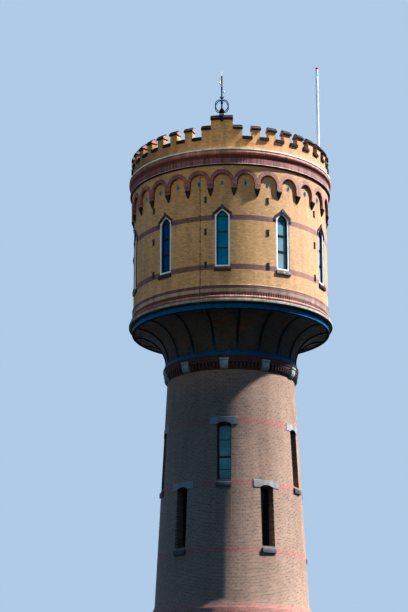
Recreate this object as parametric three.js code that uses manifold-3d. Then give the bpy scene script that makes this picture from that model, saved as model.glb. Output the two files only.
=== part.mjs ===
// Round brick water tower of about 1905: a battered shaft, a flared steel-ribbed bowl that
// carries a wider drum, a blind arcade, a cornice and a crenellated parapet with a small gable.
// Millimetres, +Z up. The origin is the centre of the foot on the ground, and the front is -Y.
// An azimuth is measured in degrees from the front, towards +X.
import * as THREE from "three";
import { mergeVertices } from "three/addons/utils/BufferGeometryUtils.js";
import Module from "manifold-3d";

const wasm = await Module();
wasm.setup();

// Driving dimensions

// GAP is left between neighbours, SEAM is how far joined solids run into each other, and CUT_PAST
// is how far a cut runs past the wall that it goes through.
const GAP = 0.3;
const SEAM = 1;
const CUT_PAST = 500;
const WEDGE_REACH = 9000;

const FACETS = 40;
const ROD_FACETS = 8;
const POLE_FACETS = 12;
const BALL_ROWS = 6;
const HEAD_STEPS = 2;

const SEGMENTS = 5;
const SEGMENT_ANGLE = 360 / SEGMENTS;
const SEGMENT_START = -18;
const SEGMENT_GAP_ANGLE = 0.004;
const BAY_ANGLE = 36;

const PLINTH = { top: 900, outer: 4400, inner: 3420, bevel: 60 };
const STEP = { width: 1300, top: 300, outer: 4700 };
const DOOR = { width: 1300, top: 2600, headRise: 150, jamb: 90, depth: 120, face: 4060, leaf: 50 };

const BATTER = 0.05;
const SHAFT = { top: 22300, topRadius: 2999, wall: 650 };
const BASE = { top: 11400, topRadius: 3720, weathering: 420 };

const WINDOW = { width: 650, headRise: 100, frame: 60, depth: 90, pane: 12, recess: 400 };
const POINTED_HEAD = { bulge: 0.75, drop: 0.4 };
const LINTEL = { width: 1300, height: 340, proud: 20, overlap: 120 };
const SILL = { width: 690, height: 310, proud: 70, inset: 200 };
const UPPER_ROW = { sill: 17130, height: 2690, offset: -1.5 };
const LOWER_ROW = { sill: 14180, height: 2770, offset: 33.6 };
const BASE_ROW = { sill: 7200, height: 2700, offset: 0 };

const FLOOR_THICKNESS = 200;
const FLOOR_BELOW_SILL = 880;

const CORBEL = {
  top: 22950, outer: 3200, steps: 2,
  blockWidth: 430, blockProud: 25, blockHeight: 480, blockDeep: 550, blockTop: 150,
  blockTurn: -1.2,
};
const NECK = { radius: 3050, top: 23140, ring: 75 };
const BOWL = { flareBottom: 23200, rim: 4580, thickness: 330, flareSteps: 5, top: 24950 };
const GIRDER = { bottom: 24710, top: 24930, outer: 4700 };
const RIBS = { count: 18, width: 70, proud: 55, start: 10 };

const DRUM = { bottom: 25600, top: 31550, outer: 4650, inner: 4330 };
const STONE_RING = { top: 25150, outer: 4850, inner: 4050, bevel: 30 };
const ROLL = { bottom: 25240, top: 25400, outer: 4790, bevel: 30, above: 4690, slope: 60 };
const DRUM_WINDOW = { width: 700, sill: 26700, height: 2800, headRise: 300, face: 4550, frame: 100 };
const DRUM_SILL = { width: 780, height: 230, proud: 70, inset: 60 };

const ARCADE = {
  count: 27, steps: 4, bottom: 30120, outer: 4780, radius: 430, springing: 30760,
  corbelTop: 30600, corbelFoot: 100, footOuter: 4690,
};
const CORNICE = {
  soffit: 4830, fasciaBottom: 31625, fascia: 4845, fasciaTop: 31905, cove: 4800, coveSpread: 80,
  coveTop: 32170, rollTop: 32365, top: 32390, outer: 4911,
};

const PARAPET = { inner: 4480, outer: 4750, copingInner: 4450, copingOuter: 4820, copingEdge: 90 };
const MERLON = {
  pitch: 360 / 37, half: 2.3, lip: 0.4, first: 2, last: 35, wallTop: 33370, copingTop: 33615,
};
const CRENEL = { wallTop: 32885, edge: 140, copingTop: 33100, bedding: 0.3 };
const GABLE = { half: 11.6, shoulderTop: 33370, shoulderCoping: 33630, centreHalf: 6.15 };
const GABLE_TOP = { wall: 33840, coping: 34095, ridge: 65 };

const ROOF = { rise: 400, thickness: 80, rimWidth: 220 };
const POLE = {
  azimuth: 90, radius: 4350, foot: 72, tip: 56, top: 38345, cap: 70, capEdge: 60, capTall: 100,
  bracket: 90, bracketTall: 70, bracketHeights: [32560, 32780],
};

const STAND = {
  radius: 4635, block: 250, blockTall: 70, rod: 24, tip: 36340, point: 60,
  domeRadius: 118, domeShoulder: 104, domeShoulderTall: 130, domeNeck: 60, domeNeckTall: 235,
  domeTall: 280, knot: 62, knotStretch: 1.5, knotHeight: 34740,
  crown: 34910, crownRadius: 110, crownTall: 125,
  collar: 36, collarTall: 100, strapDrop: 350, strapWidth: 100, strapThick: 30, strapRest: 10,
};
const SCROLL = {
  count: 6, start: 4.5, bottom: 34245, top: 34880, out: 363, shoulder: 225, ease: 22, bar: 18,
  steps: 8,
};
const VANE = {
  bottom: 35480, hubTall: 110, hubOuter: 42, clearance: 3, turn: 3.5,
  bar: 24, tailReach: 740, headReach: 600, ball: 48,
};
const LEAF = { long: 300, tall: 250, thick: 44, waist: 105, notch: 234, steps: 6 };

// Materials

const paint = (color, roughness, metalness = 0) =>
  new THREE.MeshStandardMaterial({ color, roughness, metalness });

const shaftBrick = paint(0x9a7566, 0.9);
const drumBrick = paint(0xc7a46c, 0.85);
const darkBrick = paint(0x3c2a24, 0.85);
const purpleBrick = paint(0x6f4a44, 0.85);
const greyStone = paint(0x8f9084, 0.8);
const blueSteel = paint(0x24406a, 0.5, 0.3);
const whitePaint = paint(0xe6e8e6, 0.5);
const darkPaint = paint(0x2f3b40, 0.5);
const oakBoards = paint(0x3f4f45, 0.6);
const floorTimber = paint(0x7d6a52, 0.8);
const zinc = paint(0x8c9296, 0.5, 0.6);
const gilt = paint(0xc9a23c, 0.35, 0.8);
const darkIron = paint(0x262b30, 0.6, 0.5);

// Solids

const solidOf = (geometry) => {
  const bare = geometry.clone();
  bare.deleteAttribute("normal");
  bare.deleteAttribute("uv");
  const merged = mergeVertices(bare, 1e-3);
  const numbers = { numProp: 3, vertProperties: merged.attributes.position.array };
  const triVerts = new Uint32Array(merged.index.array);
  return new wasm.Manifold(new wasm.Mesh({ ...numbers, triVerts }));
};

const geometryOf = (solid) => {
  const { vertProperties, triVerts } = solid.getMesh();
  const geometry = new THREE.BufferGeometry();
  geometry.setAttribute("position", new THREE.BufferAttribute(vertProperties, 3));
  geometry.setIndex(new THREE.BufferAttribute(triVerts, 1));
  geometry.computeVertexNormals();
  return geometry;
};

const union = (solids) => solids.reduce((all, next) => all.add(next));

const radians = THREE.MathUtils.degToRad;
const quarter = Math.PI / 2;

// A closed profile of [radius, height] points, counter-clockwise, turned round the axis. Its flat
// facets lie at the given radii, one of them square to the front.
const turned = (profile, facets = FACETS) => {
  const halfFacet = Math.PI / facets;
  const points = profile.map(([r, z]) => new THREE.Vector2(r / Math.cos(halfFacet), z));
  if (profile[0][0] > 0) points.push(points[0].clone());
  return solidOf(new THREE.LatheGeometry(points, facets, halfFacet).rotateX(Math.PI / 2));
};

// An upright wedge between two azimuths, less than half a turn apart, as tall as the tower.
const wedge = (from, to) => {
  const rim = [from, (from + to) / 2, to].map((azimuth) => {
    const angle = radians(azimuth);
    return new THREE.Vector2(Math.sin(angle) * WEDGE_REACH, -Math.cos(angle) * WEDGE_REACH);
  });
  const shape = new THREE.Shape([new THREE.Vector2(0, 0), ...rim]);
  const prism = new THREE.ExtrudeGeometry(shape, { depth: POLE.top + CUT_PAST, bevelEnabled: false });
  return solidOf(prism.translate(0, 0, -CUT_PAST));
};

// A block bent round the tower: a ring profile between two azimuths.
const bentBlock = (profile, centre, width) => {
  const radius = Math.max(...profile.map(([r]) => r));
  const half = THREE.MathUtils.radToDeg(Math.asin(width / 2 / radius));
  return turned(profile).intersect(wedge(centre - half, centre + half));
};

const band = (inner, outer, bottom, top) => [
  [inner, bottom],
  [outer, bottom],
  [outer, top],
  [inner, top],
];

// A shape drawn in the wall's plane (across, up) and pushed out from one radius to another.
const outward = (shape, azimuth, from, to, curveSegments = HEAD_STEPS) => {
  const depth = to - from;
  const geometry = new THREE.ExtrudeGeometry(shape, { depth, bevelEnabled: false, curveSegments });
  const angle = radians(azimuth);
  const across = new THREE.Vector3(Math.cos(angle), Math.sin(angle), 0);
  const up = new THREE.Vector3(0, 0, 1);
  const out = new THREE.Vector3(Math.sin(angle), -Math.cos(angle), 0);
  geometry.applyMatrix4(new THREE.Matrix4().makeBasis(across, up, out));
  geometry.translate(out.x * from, out.y * from, 0);
  return solidOf(geometry);
};

const rectangle = (width, bottom, top) =>
  new THREE.Shape([
    new THREE.Vector2(-width / 2, bottom),
    new THREE.Vector2(width / 2, bottom),
    new THREE.Vector2(width / 2, top),
    new THREE.Vector2(-width / 2, top),
  ]);

// A window or door outline with a low curved head, inset all round by a margin.
const curvedHead = ({ width, bottom, height, headRise }, margin = 0) => {
  const half = width / 2 - margin;
  const foot = bottom + margin;
  const crown = bottom + height - margin;
  const shape = new THREE.Shape();
  shape.moveTo(-half, foot);
  shape.lineTo(half, foot);
  shape.lineTo(half, crown - headRise);
  shape.quadraticCurveTo(half / 2, crown, 0, crown);
  shape.quadraticCurveTo(-half / 2, crown, -half, crown - headRise);
  shape.closePath();
  return shape;
};

// The same with a pointed head, its sides bulging a little.
const pointedHead = ({ width, bottom, height, headRise }, margin = 0) => {
  const half = width / 2 - margin;
  const foot = bottom + margin;
  const crown = bottom + height - margin;
  const shape = new THREE.Shape();
  shape.moveTo(-half, foot);
  shape.lineTo(half, foot);
  const bulge = half * POINTED_HEAD.bulge;
  const bulgeHeight = crown - headRise * POINTED_HEAD.drop;
  shape.lineTo(half, crown - headRise);
  shape.quadraticCurveTo(bulge, bulgeHeight, 0, crown);
  shape.quadraticCurveTo(-bulge, bulgeHeight, -half, crown - headRise);
  shape.closePath();
  return shape;
};

// A frame with one pane in it, at the front of the tower, its face at the given distance out.
const windowUnit = (outline, opening, face, frameWidth = WINDOW.frame) => {
  const back = face - WINDOW.depth;
  const frame = outward(outline(opening, GAP), 0, back, face);
  const light = outward(outline(opening, frameWidth), 0, back - SEAM, face + SEAM);
  const paneBack = face - (WINDOW.depth + WINDOW.pane) / 2;
  const pane = outward(outline(opening, frameWidth / 2), 0, paneBack, paneBack + WINDOW.pane);
  return frame.subtract(light).add(pane);
};

const meshOf = (name, solid, material) => {
  const geometry = solid instanceof THREE.BufferGeometry ? solid : geometryOf(solid);
  const mesh = new THREE.Mesh(geometry, material);
  mesh.name = name;
  return mesh;
};

// Copies of one piece, each turned to its own azimuth and numbered from 1.
const around = (name, geometry, material, count, step, offset = 0) => {
  const ring = new THREE.Group();
  for (let i = 0; i < count; i += 1) {
    const copy = meshOf(`${name}_${i + 1}`, geometry, material);
    copy.rotation.z = radians(offset + i * step);
    ring.add(copy);
  }
  return ring;
};

const tower = new THREE.Group();

// Shaft and base: one battered wall in five upright strips

const shaftOuter = (z) => SHAFT.topRadius + BATTER * (SHAFT.top - z);
const shaftInner = (z) => shaftOuter(z) - SHAFT.wall;
const baseOuter = (z) => BASE.topRadius + BATTER * (BASE.top - z);

const weatheringTop = BASE.top + BASE.weathering;
const wallProfile = [
  [shaftInner(PLINTH.top), PLINTH.top + GAP],
  [baseOuter(PLINTH.top), PLINTH.top + GAP],
  [baseOuter(BASE.top), BASE.top],
  [shaftOuter(weatheringTop), weatheringTop],
  [shaftOuter(SHAFT.top), SHAFT.top],
  [shaftInner(SHAFT.top), SHAFT.top],
];

const rowOpening = (row) => ({
  width: WINDOW.width, bottom: row.sill, height: row.height, headRise: WINDOW.headRise,
});

const wallFace = (row) => (row.sill > BASE.top ? shaftOuter : baseOuter);

// The lintel block over a window and the sill under it, built into the wall.
const dressings = (row) => {
  const crown = row.sill + row.height;
  const face = wallFace(row);
  const lintelBottom = crown - LINTEL.overlap;
  const lintelTop = lintelBottom + LINTEL.height;
  const lintel = [
    [face(lintelBottom) - SHAFT.wall / 2, lintelBottom],
    [face(lintelBottom) + LINTEL.proud, lintelBottom],
    [face(lintelTop) + LINTEL.proud, lintelTop],
    [face(lintelTop) - SHAFT.wall / 2, lintelTop],
  ];
  const sillBottom = row.sill - SILL.height;
  const sillFace = face(sillBottom) + SILL.proud;
  const sill = [
    [face(row.sill) - SILL.inset, sillBottom],
    [sillFace, sillBottom],
    [sillFace, row.sill - SILL.height / 3],
    [face(row.sill) - SILL.inset, row.sill],
  ];
  return union([bentBlock(lintel, row.offset, LINTEL.width), bentBlock(sill, row.offset, SILL.width)]);
};

const opening = (row) => {
  const start = shaftInner(SHAFT.top) - CUT_PAST;
  return outward(curvedHead(rowOpening(row)), row.offset, start, baseOuter(0) + CUT_PAST);
};

const stripRows = [UPPER_ROW, LOWER_ROW, BASE_ROW];
const segmentEnd = SEGMENT_START + SEGMENT_ANGLE;
const segmentWedge = wedge(SEGMENT_START + SEGMENT_GAP_ANGLE, segmentEnd - SEGMENT_GAP_ANGLE);
const strip = stripRows
  .reduce((wall, row) => wall.add(dressings(row)).subtract(opening(row)), turned(wallProfile))
  .intersect(segmentWedge);

const doorway = {
  width: DOOR.width, bottom: STEP.top, height: DOOR.top - STEP.top, headRise: DOOR.headRise,
};
const doorStart = PLINTH.inner - CUT_PAST;
const doorEnd = PLINTH.outer + CUT_PAST;
const doorStrip = strip.subtract(outward(curvedHead(doorway), 0, doorStart, doorEnd));

tower.add(meshOf("tower_wall_1", doorStrip, shaftBrick));
const stripGeometry = geometryOf(strip);
for (let i = 1; i < SEGMENTS; i += 1) {
  const copy = meshOf(`tower_wall_${i + 1}`, stripGeometry, shaftBrick);
  copy.rotation.z = radians(i * SEGMENT_ANGLE);
  tower.add(copy);
}

const rowUnit = (row) => {
  const face = wallFace(row)(row.sill + row.height) - WINDOW.recess;
  return geometryOf(windowUnit(curvedHead, rowOpening(row), face));
};
const addRow = (name, row) =>
  tower.add(around(name, rowUnit(row), darkPaint, SEGMENTS, SEGMENT_ANGLE, row.offset));
addRow("upper_window", UPPER_ROW);
addRow("lower_window", LOWER_ROW);
addRow("base_window", BASE_ROW);

// Foot: plinth, step, door and ground floor

const plinthProfile = [
  [PLINTH.inner, 0],
  [PLINTH.outer, 0],
  [PLINTH.outer, PLINTH.top - PLINTH.bevel],
  [PLINTH.outer - PLINTH.bevel, PLINTH.top],
  [PLINTH.inner, PLINTH.top],
];
const plinthGap = rectangle(DOOR.width, -CUT_PAST, PLINTH.top + CUT_PAST);
const plinthRing = turned(plinthProfile).subtract(outward(plinthGap, 0, doorStart, doorEnd));
tower.add(meshOf("plinth", plinthRing, greyStone));

const stepShape = rectangle(STEP.width - 2 * GAP, 0, STEP.top - GAP);
tower.add(meshOf("door_step", outward(stepShape, 0, PLINTH.inner, STEP.outer), greyStone));

const doorBack = DOOR.face - DOOR.depth;
const frameBlank = outward(curvedHead(doorway, GAP), 0, doorBack, DOOR.face);
const doorLight = {
  ...doorway,
  width: DOOR.width - 2 * DOOR.jamb,
  bottom: STEP.top - SEAM,
  height: doorway.height + SEAM - DOOR.jamb,
};
const frameHole = outward(curvedHead(doorLight), 0, doorBack - SEAM, DOOR.face + SEAM);
tower.add(meshOf("door_frame", frameBlank.subtract(frameHole), darkPaint));

const leafOutline = { ...doorLight, bottom: STEP.top, height: doorway.height - DOOR.jamb };
const leafFace = DOOR.face - DOOR.depth / 2;
const leaf = outward(curvedHead(leafOutline, GAP), 0, leafFace - DOOR.leaf, leafFace);
tower.add(meshOf("door", leaf, oakBoards));

const disc = (radiusBelow, radiusAbove, bottom, top) => [
  [0, bottom],
  [radiusBelow - GAP, bottom],
  [radiusAbove - GAP, top],
  [0, top],
];
const groundFloor = disc(PLINTH.inner, PLINTH.inner, 0, STEP.top);
tower.add(meshOf("ground_floor", turned(groundFloor), greyStone));

const floorUnder = (name, row) => {
  const top = row.sill - FLOOR_BELOW_SILL;
  const bottom = top - FLOOR_THICKNESS;
  const profile = disc(shaftInner(bottom), shaftInner(top), bottom, top);
  tower.add(meshOf(name, turned(profile), floorTimber));
};
floorUnder("base_floor", BASE_ROW);
floorUnder("lower_floor", LOWER_ROW);
floorUnder("upper_floor", UPPER_ROW);

// Neck: a stepped brick corbel course with ten stone blocks

const corbelBottom = SHAFT.top + GAP;
const corbelInner = shaftInner(SHAFT.top);
const corbelRun = (CORBEL.outer - SHAFT.topRadius) / CORBEL.steps;
const corbelRise = (CORBEL.top - corbelBottom) / CORBEL.steps;
const corbelOutside = [];
for (let i = 0; i < CORBEL.steps; i += 1) {
  const radius = SHAFT.topRadius + corbelRun * (i + 1);
  corbelOutside.push([radius, corbelBottom + corbelRise * i]);
  corbelOutside.push([radius, corbelBottom + corbelRise * (i + 1)]);
}
const corbelRing = turned([[corbelInner, corbelBottom], ...corbelOutside, [corbelInner, CORBEL.top]]);
const blockHead = CORBEL.top - CORBEL.blockTop;
const blockFace = CORBEL.outer + CORBEL.blockProud;
const blockFoot = blockHead - CORBEL.blockHeight;
const blockBand = band(CORBEL.outer - CORBEL.blockDeep, blockFace, blockFoot, blockHead);
const corbelBlocks = [];
for (let azimuth = 0; azimuth < 360; azimuth += BAY_ANGLE) {
  corbelBlocks.push(bentBlock(blockBand, azimuth + CORBEL.blockTurn, CORBEL.blockWidth));
}
tower.add(meshOf("neck_corbel", union([corbelRing, ...corbelBlocks]), darkBrick));

// Bowl: a quarter-round flare from the neck out to the drum

const flareCentre = [BOWL.rim, BOWL.flareBottom];
const flareRadius = BOWL.rim - NECK.radius;
const flare = (radius, last = quarter) => {
  const points = [];
  for (let i = 0; i <= BOWL.flareSteps; i += 1) {
    const t = (last * i) / BOWL.flareSteps;
    points.push([flareCentre[0] - Math.cos(t) * radius, flareCentre[1] + Math.sin(t) * radius]);
  }
  return points;
};

const bowlBottom = CORBEL.top + GAP;
const insideRadius = flareRadius + BOWL.thickness;
const insideLast = Math.asin((BOWL.top - BOWL.flareBottom) / insideRadius);
const bowlProfile = [
  [NECK.radius - BOWL.thickness, bowlBottom],
  [NECK.radius, bowlBottom],
  ...flare(flareRadius),
  [BOWL.rim, BOWL.top],
  ...flare(insideRadius, insideLast).reverse(),
];
tower.add(meshOf("bowl", turned(bowlProfile), darkBrick));

// Steel cradle: neck ring, curved ribs under the bowl and the ring girder at its rim

const ribOutside = flare(flareRadius - RIBS.proud);
const ribInside = flare(flareRadius - 2 * GAP).reverse();
const ribFoot = NECK.top - RIBS.proud;
const ribReach = (BOWL.rim + GIRDER.outer) / 2;
const ribBand = turned([
  [NECK.radius + 2 * GAP, ribFoot],
  [NECK.radius + RIBS.proud, ribFoot],
  ...ribOutside,
  [ribReach, ribOutside.at(-1)[1]],
  [ribReach, ribInside[0][1]],
  ...ribInside,
]);
const ribShape = rectangle(RIBS.width, ribFoot - CUT_PAST, GIRDER.top);
const ribs = [];
for (let i = 0; i < RIBS.count; i += 1) {
  const azimuth = RIBS.start + (i * 360) / RIBS.count;
  ribs.push(ribBand.intersect(outward(ribShape, azimuth, NECK.radius - CUT_PAST, GIRDER.outer)));
}
const girder = turned(band(BOWL.rim + GAP, GIRDER.outer, GIRDER.bottom, GIRDER.top));
const neckRing = turned(band(NECK.radius + GAP, NECK.radius + NECK.ring, bowlBottom, NECK.top));
tower.add(meshOf("steel_cradle", union([girder, neckRing, ...ribs]), blueSteel));

// Drum: stone ring, moulded base course, floor, five wall segments and ten pointed windows

const stoneBottom = BOWL.top + GAP;
const stoneProfile = [
  [STONE_RING.inner, stoneBottom],
  [STONE_RING.outer, stoneBottom],
  [STONE_RING.outer, STONE_RING.top - STONE_RING.bevel],
  [STONE_RING.outer - STONE_RING.bevel, STONE_RING.top],
  [STONE_RING.inner, STONE_RING.top],
];
tower.add(meshOf("stone_ring", turned(stoneProfile), greyStone));

const courseBottom = STONE_RING.top + GAP;
const courseProfile = [
  [DRUM.inner, courseBottom],
  [ROLL.outer - ROLL.bevel, courseBottom],
  [ROLL.outer - ROLL.bevel, ROLL.bottom],
  [ROLL.outer, ROLL.bottom + ROLL.bevel],
  [ROLL.outer, ROLL.top - ROLL.bevel],
  [ROLL.outer - ROLL.bevel, ROLL.top],
  [ROLL.above, ROLL.top + ROLL.slope],
  [ROLL.above, DRUM.bottom],
  [DRUM.inner, DRUM.bottom],
];
tower.add(meshOf("drum_base_course", turned(courseProfile), purpleBrick));
const drumFloor = disc(DRUM.inner, DRUM.inner, courseBottom, courseBottom + FLOOR_THICKNESS);
tower.add(meshOf("drum_floor", turned(drumFloor), floorTimber));

const drumOpening = { ...DRUM_WINDOW, bottom: DRUM_WINDOW.sill };
const drumSillProfile = [
  [DRUM.outer - DRUM_SILL.inset, DRUM_WINDOW.sill - DRUM_SILL.height],
  [DRUM.outer + DRUM_SILL.proud, DRUM_WINDOW.sill - DRUM_SILL.height],
  [DRUM.outer + DRUM_SILL.proud, DRUM_WINDOW.sill - DRUM_SILL.height / 3],
  [DRUM.outer - DRUM_SILL.inset, DRUM_WINDOW.sill],
];
const drumBays = [0, BAY_ANGLE];
const drumRing = turned(band(DRUM.inner, DRUM.outer, DRUM.bottom + GAP, DRUM.top));
const drumSegment = drumBays
  .reduce((wall, azimuth) => {
    const sill = bentBlock(drumSillProfile, azimuth, DRUM_SILL.width);
    const start = DRUM.inner - CUT_PAST;
    const cut = outward(pointedHead(drumOpening), azimuth, start, DRUM.outer + CUT_PAST);
    return wall.add(sill).subtract(cut);
  }, drumRing)
  .intersect(segmentWedge);
tower.add(around("drum_wall", geometryOf(drumSegment), drumBrick, SEGMENTS, SEGMENT_ANGLE));

const drumUnit = windowUnit(pointedHead, drumOpening, DRUM_WINDOW.face, DRUM_WINDOW.frame);
tower.add(around("drum_window", geometryOf(drumUnit), whitePaint, 360 / BAY_ANGLE, BAY_ANGLE));

// Arcade: a projecting band of round arches on tapered corbels, standing on the drum's face

const archPitch = 360 / ARCADE.count;
const arcadeProfile = [
  [DRUM.outer + GAP, ARCADE.bottom],
  [ARCADE.footOuter, ARCADE.bottom],
  [ARCADE.outer, ARCADE.corbelTop],
  [ARCADE.outer, DRUM.top],
  [DRUM.outer + GAP, DRUM.top],
];
const footHalf = (ARCADE.outer * radians(archPitch) - ARCADE.corbelFoot) / 2;
const archShape = new THREE.Shape();
archShape.moveTo(-footHalf, ARCADE.bottom - SEAM);
archShape.lineTo(footHalf, ARCADE.bottom - SEAM);
archShape.lineTo(ARCADE.radius, ARCADE.corbelTop);
archShape.lineTo(ARCADE.radius, ARCADE.springing);
archShape.absarc(0, ARCADE.springing, ARCADE.radius, 0, Math.PI, false);
archShape.lineTo(-ARCADE.radius, ARCADE.corbelTop);
archShape.closePath();
const archStart = DRUM.outer - CUT_PAST;
const archEnd = ARCADE.outer + CUT_PAST;
let arcade = turned(arcadeProfile);
for (let i = 0; i < ARCADE.count; i += 1) {
  arcade = arcade.subtract(outward(archShape, i * archPitch, archStart, archEnd, ARCADE.steps));
}
tower.add(meshOf("arcade", arcade, purpleBrick));

// Cornice: fascia, cove and roll under a sloped lead top

const corniceBottom = DRUM.top + GAP;
const corniceProfile = [
  [DRUM.inner, corniceBottom],
  [CORNICE.soffit, corniceBottom],
  [CORNICE.soffit, CORNICE.fasciaBottom],
  [CORNICE.fascia, CORNICE.fasciaBottom],
  [CORNICE.fascia, CORNICE.fasciaTop],
  [CORNICE.cove, CORNICE.fasciaTop],
  [CORNICE.cove + CORNICE.coveSpread, CORNICE.coveTop],
  [CORNICE.outer, CORNICE.coveTop],
  [CORNICE.outer, CORNICE.rollTop],
  [PARAPET.outer, CORNICE.top],
  [DRUM.inner, CORNICE.top],
];
tower.add(meshOf("cornice", turned(corniceProfile), purpleBrick));

// Parapet: a ring wall with saddle-backed copings on its merlons and crenels, and a front gable

const parapetBottom = CORNICE.top + GAP;
const parapetWall = (bottom, top) => turned(band(PARAPET.inner, PARAPET.outer, bottom, top));
const saddle = (bottom, top, ridge = 0) => {
  const middle = (PARAPET.inner + PARAPET.outer) / 2;
  const flat = ridge > 0 ? [[middle + ridge, top], [middle - ridge, top]] : [[middle, top]];
  return turned([
    [PARAPET.copingInner, bottom],
    [PARAPET.copingOuter, bottom],
    [PARAPET.copingOuter, bottom + PARAPET.copingEdge],
    ...flat,
    [PARAPET.copingInner, bottom + PARAPET.copingEdge],
  ]);
};
const merlonRing = parapetWall(CRENEL.wallTop - SEAM, MERLON.wallTop + SEAM);
const merlonCaps = saddle(MERLON.wallTop, MERLON.copingTop);
const capHalf = MERLON.half + MERLON.lip;
const crenelHalf = MERLON.half - CRENEL.bedding;
let crenels = turned([
  [PARAPET.inner, CRENEL.wallTop - SEAM],
  [PARAPET.copingOuter, CRENEL.wallTop - SEAM],
  [PARAPET.copingOuter, CRENEL.wallTop + CRENEL.edge],
  [PARAPET.inner, CRENEL.copingTop],
]);
const merlons = [];
for (let i = MERLON.first; i <= MERLON.last; i += 1) {
  const azimuth = i * MERLON.pitch;
  crenels = crenels.subtract(wedge(azimuth - crenelHalf, azimuth + crenelHalf));
  merlons.push(merlonRing.intersect(wedge(azimuth - MERLON.half, azimuth + MERLON.half)));
  merlons.push(merlonCaps.intersect(wedge(azimuth - capHalf, azimuth + capHalf)));
}
const gableWedge = (half) => wedge(-half, half);
const ringWall = union([parapetWall(parapetBottom, CRENEL.wallTop), crenels, ...merlons]);
const gableRoom = gableWedge(GABLE.half + SEGMENT_GAP_ANGLE);
tower.add(meshOf("parapet", ringWall.subtract(gableRoom), drumBrick));

const gable = union([
  parapetWall(parapetBottom, GABLE.shoulderTop).intersect(gableWedge(GABLE.half)),
  saddle(GABLE.shoulderTop, GABLE.shoulderCoping).intersect(gableWedge(GABLE.half)),
  parapetWall(GABLE.shoulderTop, GABLE_TOP.wall).intersect(gableWedge(GABLE.centreHalf)),
  saddle(GABLE_TOP.wall, GABLE_TOP.coping, GABLE_TOP.ridge).intersect(gableWedge(GABLE.centreHalf)),
]);
tower.add(meshOf("front_gable", gable, drumBrick));

// Roof: a low cone with a flat rim inside the parapet

const roofRadius = PARAPET.inner - GAP;
const roofRim = roofRadius - ROOF.rimWidth;
const roofTop = parapetBottom + ROOF.thickness;
const roofProfile = [
  [0, parapetBottom + ROOF.rise],
  [roofRim, parapetBottom],
  [roofRadius, parapetBottom],
  [roofRadius, roofTop],
  [roofRim, roofTop],
  [0, roofTop + ROOF.rise],
];
tower.add(meshOf("roof", turned(roofProfile), zinc));

// Flagpole: tapered, capped, standing on the roof's rim and clamped to the parapet

const box = (width, depth, height, x, y, bottom) =>
  solidOf(new THREE.BoxGeometry(width, depth, height).translate(x, y, bottom + height / 2));

const poleFoot = roofTop + GAP;
const poleProfile = [
  [0, poleFoot],
  [POLE.foot, poleFoot],
  [POLE.tip, POLE.top],
  [POLE.cap, POLE.top],
  [POLE.cap, POLE.top + POLE.capEdge],
  [POLE.cap / 2, POLE.top + POLE.capTall],
  [0, POLE.top + POLE.capTall],
];
const bracketLong = PARAPET.inner - GAP - POLE.radius;
const brackets = POLE.bracketHeights.map((bottom) =>
  box(bracketLong, POLE.bracket, POLE.bracketTall, bracketLong / 2, 0, bottom),
);
const pole = union([turned(poleProfile, POLE_FACETS), ...brackets]);
const poleMesh = meshOf("flagpole", pole, whitePaint);
const poleAngle = radians(POLE.azimuth);
poleMesh.position.set(Math.sin(poleAngle) * POLE.radius, -Math.cos(poleAngle) * POLE.radius, 0);
tower.add(poleMesh);

// Weathervane: a scrolled iron stand on the gable, and the vane that turns on its rod

const standBottom = GABLE_TOP.coping + GAP;
const blockTop = standBottom + STAND.blockTall;
const standBlock = box(STAND.block, STAND.block, STAND.blockTall, 0, 0, standBottom);
const dome = turned([
  [0, blockTop - SEAM],
  [STAND.domeRadius, blockTop - SEAM],
  [STAND.domeShoulder, blockTop + STAND.domeShoulderTall],
  [STAND.domeNeck, blockTop + STAND.domeNeckTall],
  [STAND.rod, blockTop + STAND.domeTall],
  [0, blockTop + STAND.domeTall],
], ROD_FACETS);
const collarTop = VANE.bottom - GAP;
const rod = turned([
  [0, blockTop],
  [STAND.rod, blockTop],
  [STAND.rod, STAND.crown],
  [STAND.crownRadius, STAND.crown + STAND.crownTall],
  [STAND.rod, STAND.crown + STAND.crownTall],
  [STAND.rod, collarTop - STAND.collarTall],
  [STAND.collar, collarTop - STAND.collarTall],
  [STAND.collar, collarTop],
  [STAND.rod, collarTop],
  [STAND.rod, STAND.tip - STAND.point],
  [0, STAND.tip],
], ROD_FACETS);
const ballAt = (radius, y, z) =>
  solidOf(new THREE.SphereGeometry(radius, ROD_FACETS, BALL_ROWS).rotateX(quarter).translate(0, y, z));
const knot = ballAt(STAND.knot, 0, 0)
  .scale([1, 1, STAND.knotStretch])
  .translate([0, 0, STAND.knotHeight]);

const barSection = new THREE.Shape();
barSection.absarc(0, 0, SCROLL.bar, 0, 2 * Math.PI, false);
const scrollPath = new THREE.CatmullRomCurve3([
  new THREE.Vector3(0, 0, SCROLL.bottom),
  new THREE.Vector3(SCROLL.shoulder, 0, SCROLL.bottom + SCROLL.ease),
  new THREE.Vector3(SCROLL.out, 0, (SCROLL.bottom + SCROLL.top) / 2),
  new THREE.Vector3(SCROLL.shoulder, 0, SCROLL.top - SCROLL.ease),
  new THREE.Vector3(0, 0, SCROLL.top),
]);
const scrollBend = { steps: SCROLL.steps, curveSegments: HEAD_STEPS, extrudePath: scrollPath };
const scrolls = [];
for (let i = 0; i < SCROLL.count; i += 1) {
  const azimuth = SCROLL.start + (i * 360) / SCROLL.count;
  const bar = new THREE.ExtrudeGeometry(barSection, scrollBend);
  scrolls.push(solidOf(bar.rotateZ(radians(azimuth) - quarter)));
}

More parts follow.
